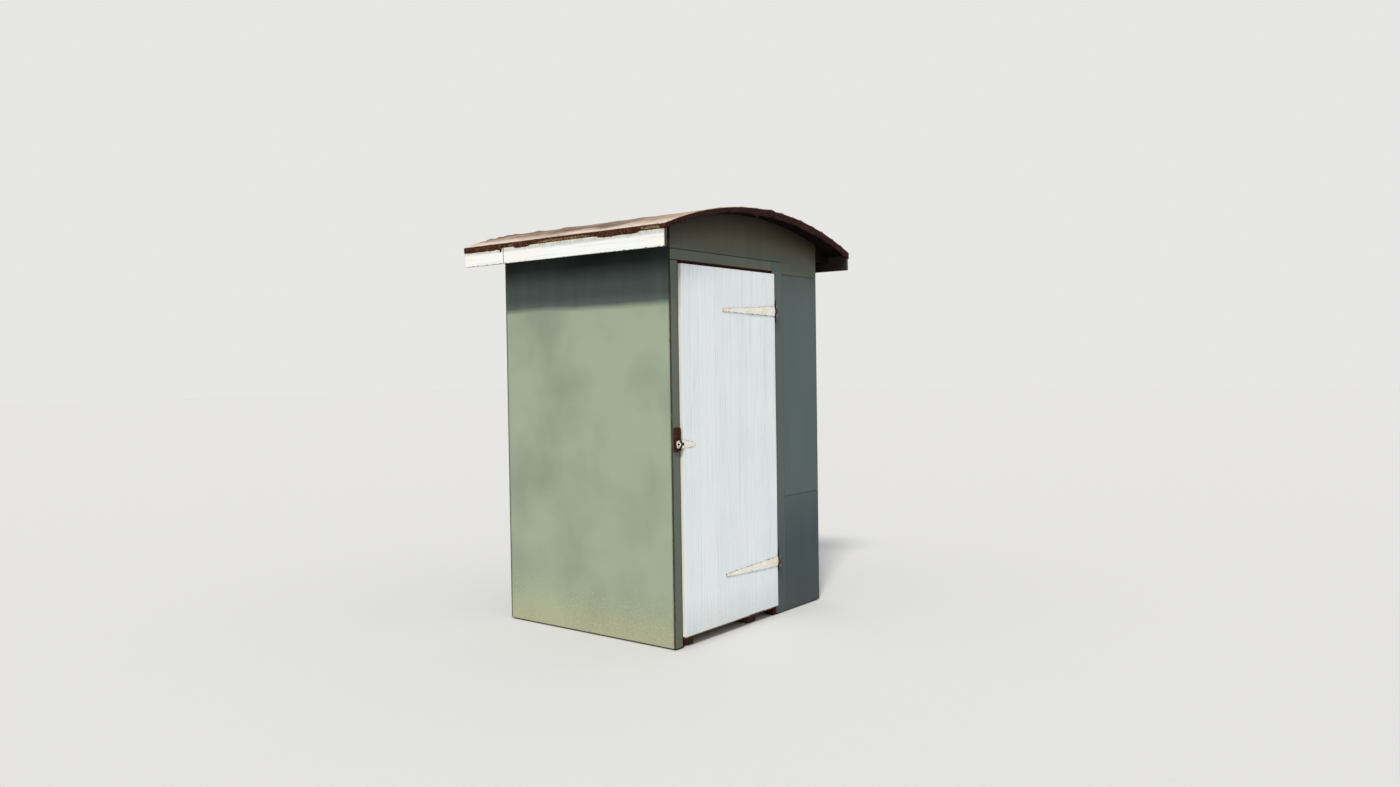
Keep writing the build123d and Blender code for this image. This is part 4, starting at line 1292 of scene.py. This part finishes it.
def sawn_timber(name, axis, pale, dark, turn=0.0, edge_tan=False, gloss=0.15):
    """Softwood off the saw: grain along its length, fuzzy saw ridges across it, and brown with age."""
    made, add, at, end = material(name, "end")
    lying = add("map", {"Vector": at, "Rotation": (0.0, turn, 0.0)}) if turn else at
    long = add("map", {"Vector": lying, "Scale": along_grain(axis, 5, 320)})
    grain = add("noise", {"Vector": long, "Scale": 1.0, "Detail": 5.0, "Distortion": 0.4})
    short = add("map", {"Vector": lying, "Scale": along_grain(axis, 60, 3)})
    saw = add("noise", (short, 1.0, 2.0))
    stain = add("noise", (at, per(150), 4.0))
    growth = add("rings", {
        "Vector": at, "Scale": per(26), "Distortion": 6.0, "Detail": 2.0, "Detail Scale": 1.0,
    }, "Fac")
    paint = coats(
        add, add("ramp", (grain,), stops=((0.35, dark), (0.62, pale))),
        (dark, stain, 0.40, 0.70, 0.0, 0.5),
        (add("mix", (growth, "#3B2A1E", dark)), end),
    )
    if edge_tan:
        # the long edges at the eaves were never stained, and show tan where the felt is torn off
        fine = add("noise", (at, per(9), 4.0))
        tan = add("ramp", (fine,), stops=((0.34, "#4A3524"), (0.48, "#86694A"), (0.66, "#C9A772")))
        paint = coats(add, paint, (tan, add("size", (add("split", (at,), "X"),)), 0.8795, 0.8805))
    relief = add("times add", (saw, 0.6, grain))
    surface(add, paint, 0.85, relief, 0.0012, gloss=gloss)
    return made


def brushed_white(
    name, axis, cool, warm, side_colour, tint, tint_from, tint_to, tint_most=0.5, chips=0.0, dark_inside=None
):
    """White oil paint brushed on planed pine: brush lines along the grain, cool streaks where the grain shows.

    Dirt sits in the grooves, the paint darkens toward one height (dirt near the foot of the door, a grey green band
    along the top of a fascia), and the paint is thin and yellow on the sides of the boards. Nearer the middle of the
    shed than a given distance the wood was never painted, and it is near black as painted shade under the roof.
    """
    made, add, at, edge, groove, side, board, end = material(name, "edge", "groove", "side", "board", "end")
    moved = add("map", {"Vector": at, "Location": add("join", (board, board, board))})
    long = add("map", {"Vector": moved, "Scale": along_grain(axis, 9, 420)})
    grain = add("noise", (long, 1.0, 6.0, 0.6))
    # brush hairs are under 1 mm, drawn at 3 mm so that they show
    hairs = add("map", {"Vector": moved, "Scale": along_grain(axis, 3, 260)})
    brush = add("noise", (hairs, 1.0, 2.0))
    cloud = add("noise", (at, per(240), 3.0))
    spots = add("noise", (at, per(14), 6.0))
    wander = add("times add", (cloud, 0.012, add("split", (at,), "Z")))
    tinted = add("range", (wander, tint_from, tint_to, 0.0, tint_most))
    near = add("range", (edge, 0.006, 0.0, -0.4, chips))
    bare = add("range", (add("add", (spots, near)), 0.61, 0.64))
    paint = coats(
        add, warm,
        (cool, cloud, 0.35, 0.65),
        ("#B4C0C4", grain, 0.52, 0.74, 0.0, 0.42),
        ("#A9B0B0", brush, 0.30, 0.70, 0.10, 0.0),
        ("#B9C3C6", board, 0.0, 1.0, 0.0, 0.10),
        (tint, add("times", (tinted, add("range", (spots, 0.30, 0.70, 0.45, 1.0))))),
        ("#A5AFB1", groove, 0.25, 1.0, 0.0, 0.55),
        ("#8D7F6B", bare),
        # thin, yellowed paint over the grain on the boards' backs and sides
        (coats(add, side_colour, ("#B3A282", grain, 0.38, 0.66, 0.0, 0.10)), side),
        ("#6B5F54", end),
    )
    # the inner faces: unpainted wood taken near black, as painted shade under the roof
    if dark_inside:
        away = add("size", (add("split", (at,), "X"),))
        unpainted_and_shaded = coats(add, "#15100D", ("#2A1D17", grain, 0.35, 0.65))
        paint = coats(add, paint, (unpainted_and_shaded, away, dark_inside + 0.001, dark_inside))
    rough = add("range", (cloud, 0.0, 1.0, 0.42, 0.62))
    relief = add("times add", (bare, -0.9, add("times add", (grain, 0.6, brush))))
    surface(add, paint, rough, relief, 0.0006)
    return made


def brushed_iron(name, pale="#EDECE6", aged="#E4E0CF", thin="#BFA46C", rusts=("#241613", "#452A1B")):
    """Wrought iron under old oil paint: aged unevenly, with rust creeping in from its edges."""
    made, add, at, edge, worn = material(name, "edge", "bare")
    spots = add("noise", (at, per(11), 6.0))
    cloud = add("noise", (at, per(60), 3.0))
    near = add("range", (edge, 0.0040, 0.0, -0.17, 0.15))
    reach = add("times add", (worn, 0.36, add("add", (spots, near))))
    rust = add("range", (reach, 0.60, 0.66))
    paint = coats(
        add, pale,
        (aged, cloud, 0.35, 0.65),
        (thin, reach, 0.48, 0.62, 0.0, 0.8),
        (coats(add, rusts[0], (rusts[1], spots, 0.40, 0.66)), rust),
    )
    rough = add("range", (rust, 0.0, 1.0, 0.48, 0.88))
    relief = add("times add", (rust, -1.0, spots))
    surface(add, paint, rough, relief, 0.0006)
    return made


def rusted_iron(name):
    """Bare wrought iron left outdoors: brown black scale with duller orange rust in patches."""
    made, add, at = material(name)
    spots = add("noise", (at, per(9), 6.0))
    paint = coats(add, "#241C1A", ("#5B3523", spots, 0.42, 0.64))
    metal = add("range", (spots, 0.42, 0.64, 0.75, 0.1))
    rough = add("range", (spots, 0.3, 0.7, 0.5, 0.9))
    surface(add, paint, rough, spots, 0.0008, 0.7, metal=metal)
    return made


def ochre_on_wood(name):
    """Red ochre paint on a softwood block: flat dark red brown, worn to grey wood on its arrises."""
    made, add, at, edge = material(name, "edge")
    spots = add("noise", (at, per(12), 6.0))
    tall = add("map", {"Vector": at, "Scale": along_grain(2, 4, 120)})
    grain = add("noise", (tall, 1.0, 4.0))
    near = add("range", (edge, 0.005, 0.0, -0.3, 0.0))
    paint = coats(
        add, "#27120A",
        ("#441F12", grain, 0.35, 0.65),
        ("#66503F", add("add", (spots, near)), 0.58, 0.64),
    )
    surface(add, paint, 0.85, grain, 0.0008, gloss=0.15)
    return made


def studio_paper(name):
    """Matt studio paper: even and pale, with a faint fibre and no gloss."""
    made, add, at = material(name)
    fibre = add("noise", (at, per(3), 2.0))
    surface(add, coats(add, "#D6D7D8", ("#B8B6B2", fibre, 0.3, 0.7, 0.0, 0.02)), 0.9, fibre, 0.0001, 0.1)
    return made


def dress(finish, *objects):
    """Give objects one material."""
    for one in objects:
        if not one.material_slots:
            one.data.materials.append(finish)
        for held in one.material_slots:
            held.material = finish


# Each green is a name, its colours above and below a height, that height and how it differs.
# The two colours paint light and shade, as said with each.
# the left wall is painted sunlit below 1.76 m, more weakly in patches, and painted with eave shade above, near black at
# the top; its pale yellow dirt at the foot also paints light thrown up from the ground
left_green = house_paint(
    "sun faded green oil paint on hardboard", "#4F5B58", "#99A68F", 1.760, soil_and_bounce="#B9B08A", soil_and_bounce_amount=0.6,
    streak_amount=0.07, shelter_dirt="#050608", shelter_amount=1.0, least_share=0.68,
)
# the far sides are paler below 1.88 m, a milder painted sunlight, with painted eave shade on the right wall and rear
# arch
other_green = house_paint("green oil paint on the far sides", "#4C5651", "#6A7767", 1.88)
# the strong, narrow dark seam along the edges of the casing and the header paints the shade in the gaps beside them
casing_green = house_paint(
    "green oil paint on the casing boards", "#5E6559", "#5F675D", 1.95, soil_and_bounce="#57543F", soil_and_bounce_amount=0.35,
    streak_amount=0.03, seam_amount=0.9, seam_width=0.003, seam="#2E2D25",
)
# the low panel and the right casing are darker and bluer toward the foot, painted shade; the upper panel turns a little
# greyer toward its top
panel_green, low_green, strip_green = (
    house_paint(name, upper_colour, lower_colour, top, width, soil_and_bounce, 0.35, 0.03, seam_amount=0.12)
    for name, upper_colour, lower_colour, top, width, soil_and_bounce in (
        ("green oil paint on hardboard in the shade", "#515756", "#516060", 1.74, 0.30, "#57543F"),
        ("damp green oil paint on the low panel", "#4B595C", "#3D4A4F", 0.42, 0.32, "#4A4A38"),
        ("green oil paint on the right casing", "#555F5D", "#475156", 0.40, 0.35, "#4A4A38"),
    )
)
# painted shade under the roof: darker and browner toward the top, and near black brown close under the felt
arch_green = house_paint(
    "weathered green oil paint on hardboard", "#4B4534", "#595D52", 2.03, 0.16, streak_amount=0.03,
    shelter_dirt="#251505", shelter_amount=0.95,
)
dress(left_green, left_wall, left_nails)
dress(other_green, right_wall, rear_arch, *rear_sheets, right_nails, rear_nails)
dress(casing_green, left_casing, header, front_nails)
dress(panel_green, right_panel)
dress(strip_green, right_casing)
dress(low_green, low_panel)
dress(arch_green, front_arch)
dress(mineral_felt("mineral roofing felt"), left_felt, right_felt)
dress(rusted_iron("rusted wrought iron"), clouts, strap_nuts, floor_nails, bare_nail)
hinge_green = brushed_iron(
    "green oil paint over wrought iron", "#5A6157", "#5B574C", "#4A4034", rusts=("#140D0C", "#2A1813")
)
dress(hinge_green, *pieces_by_finish["plate"])
dress(brushed_iron("painted wrought iron"), *pieces_by_finish["strap"], hasp_plate, hasp_leaf, staple)
dress(ochre_on_wood("red ochre paint on softwood"), block)
door_white = brushed_white(
    "white oil paint brushed on pine boards", 2, "#E5EEF4", "#EAEFF2", "#EAE8DE", "#B4B8B2", 0.24, 0.06, chips=-0.05
)
# the fascia turns grey green along its top under the felt, and its inner faces are near black, painted shade
fascia_white = brushed_white(
    "white oil paint brushed on a pine fascia", 1, "#EDF0F0", "#EFEDE8", "#2A1D17", "#A3A391", 2.080, 2.092,
    tint_most=0.8, chips=0.04, dark_inside=0.881,
)
dress(door_white, door, door_nails)
dress(fascia_white, *fascia_pieces, fascia_nails)

BROWNS = ("#8B6A48", "#4E3523")
timbers = [sawn_timber(f"sawn softwood along {letter}", axis, *BROWNS) for axis, letter in enumerate("XYZ")]
# the roof boards and ribs are stained dark and taken nearly to black, as painted shade under the roof
soffit_stain_and_shade = sawn_timber("dark stain and painted shade on the roof boards", 1, "#17100C", "#0A0705", edge_tan=True, gloss=0.04)
rib_stain_and_shade = sawn_timber("dark stain and painted shade on the ribs", 0, "#1C130D", "#0D0907", gloss=0.04)
brace_grain = sawn_timber("sawn softwood along the brace", 2, *BROWNS, turn=BRACE_TURN)
for label, made in timber_pieces.items():
    dress(timbers[TIMBER_AXES[label]], made)
# the doorway's timbers are red brown, darkened as painted shade in the gap round the door
for axis, labels in ((0, ("door_head",)), (2, ("door_post", "post_front_left"))):
    reveal_stain_and_shade = sawn_timber(f"red brown stain on the doorway along {'XYZ'[axis]}", axis, "#4A160E", "#290B07")
    dress(reveal_stain_and_shade, *(timber_pieces[label] for label in labels))
# the bearers are a darker brown than the other timbers
dark_bearers = sawn_timber("darker bearers", 1, "#5B4431", "#2F2118")
dress(dark_bearers, *(made for label, made in timber_pieces.items() if "bearer" in label))
dress(soffit_stain_and_shade, deck)
dress(rib_stain_and_shade, *ribs)
dress(brace_grain, brace)
dress(timbers[0], floor_planks)


# Floor, light and camera
FLOOR_HALF = 60.0
floor_mesh = bpy.data.meshes.new("floor")
corners = FLOOR_HALF * np.array(((-1, -1, 0), (1, -1, 0), (1, 1, 0), (-1, 1, 0)))
floor_mesh.from_pydata(corners.tolist(), [], [(0, 1, 2, 3)])
floor = stand("floor", floor_mesh)
dress(studio_paper("pale studio floor"), floor)

world = bpy.data.worlds.new("soft room light")
bpy.context.scene.world = world
world.use_nodes = True
world.node_tree.nodes.clear()
add = partial(node, world.node_tree)
ray_kinds = add("rays").node.outputs
# the camera, and what shines or lets light through, see the room a little brighter than it lights the shed
seen = add("larger", (ray_kinds["Is Camera Ray"], ray_kinds["Is Glossy Ray"]))
seen = add("larger", (seen, ray_kinds["Is Transmission Ray"]))
strength = add("range", {"Value": seen, "To Min": 0.60, "To Max": 0.80})
add("surround", {"Surface": add("sky", {"Color": (1.0, 0.995, 0.985, 1.0), "Strength": strength})})

# A low, soft sun from the left and the front
sun_data = bpy.data.lights.new("key", "SUN")
sun_data.energy = 2.4
sun_data.angle = radians(9)
sun_data.color = (1.0, 0.97, 0.92)
sun = stand("key", sun_data)
sun.rotation_mode = "QUATERNION"
sun.rotation_quaternion = Vector((-1.0, -0.52, 1.22)).normalized().to_track_quat("Z", "Y")

# The camera, solved from the outline of the shed in the photograph
PHOTO_WIDTH = 1400
FOCAL_PIXELS = 1027.4
SENSOR = 36.0
yaw, pitch, roll = 0.9144, -0.0244, -0.0147
ahead = Vector((sin(yaw) * cos(pitch), cos(yaw) * cos(pitch), sin(pitch)))
right = Vector((cos(yaw), -sin(yaw), 0.0))
up = right.cross(ahead)
turned_right = cos(roll) * right + sin(roll) * up
turned_up = -sin(roll) * right + cos(roll) * up
camera_data = bpy.data.cameras.new("photograph")
camera_data.sensor_width = SENSOR
camera_data.lens = SENSOR * FOCAL_PIXELS / PHOTO_WIDTH
camera = stand("photograph", camera_data)
facing = Matrix((turned_right, turned_up, -ahead)).transposed().to_4x4()
camera.matrix_world = Matrix.Translation((-4.7036, -3.8719, 1.4276)) @ facing
bpy.context.scene.camera = camera
bpy.context.scene.view_settings.view_transform = "Standard"
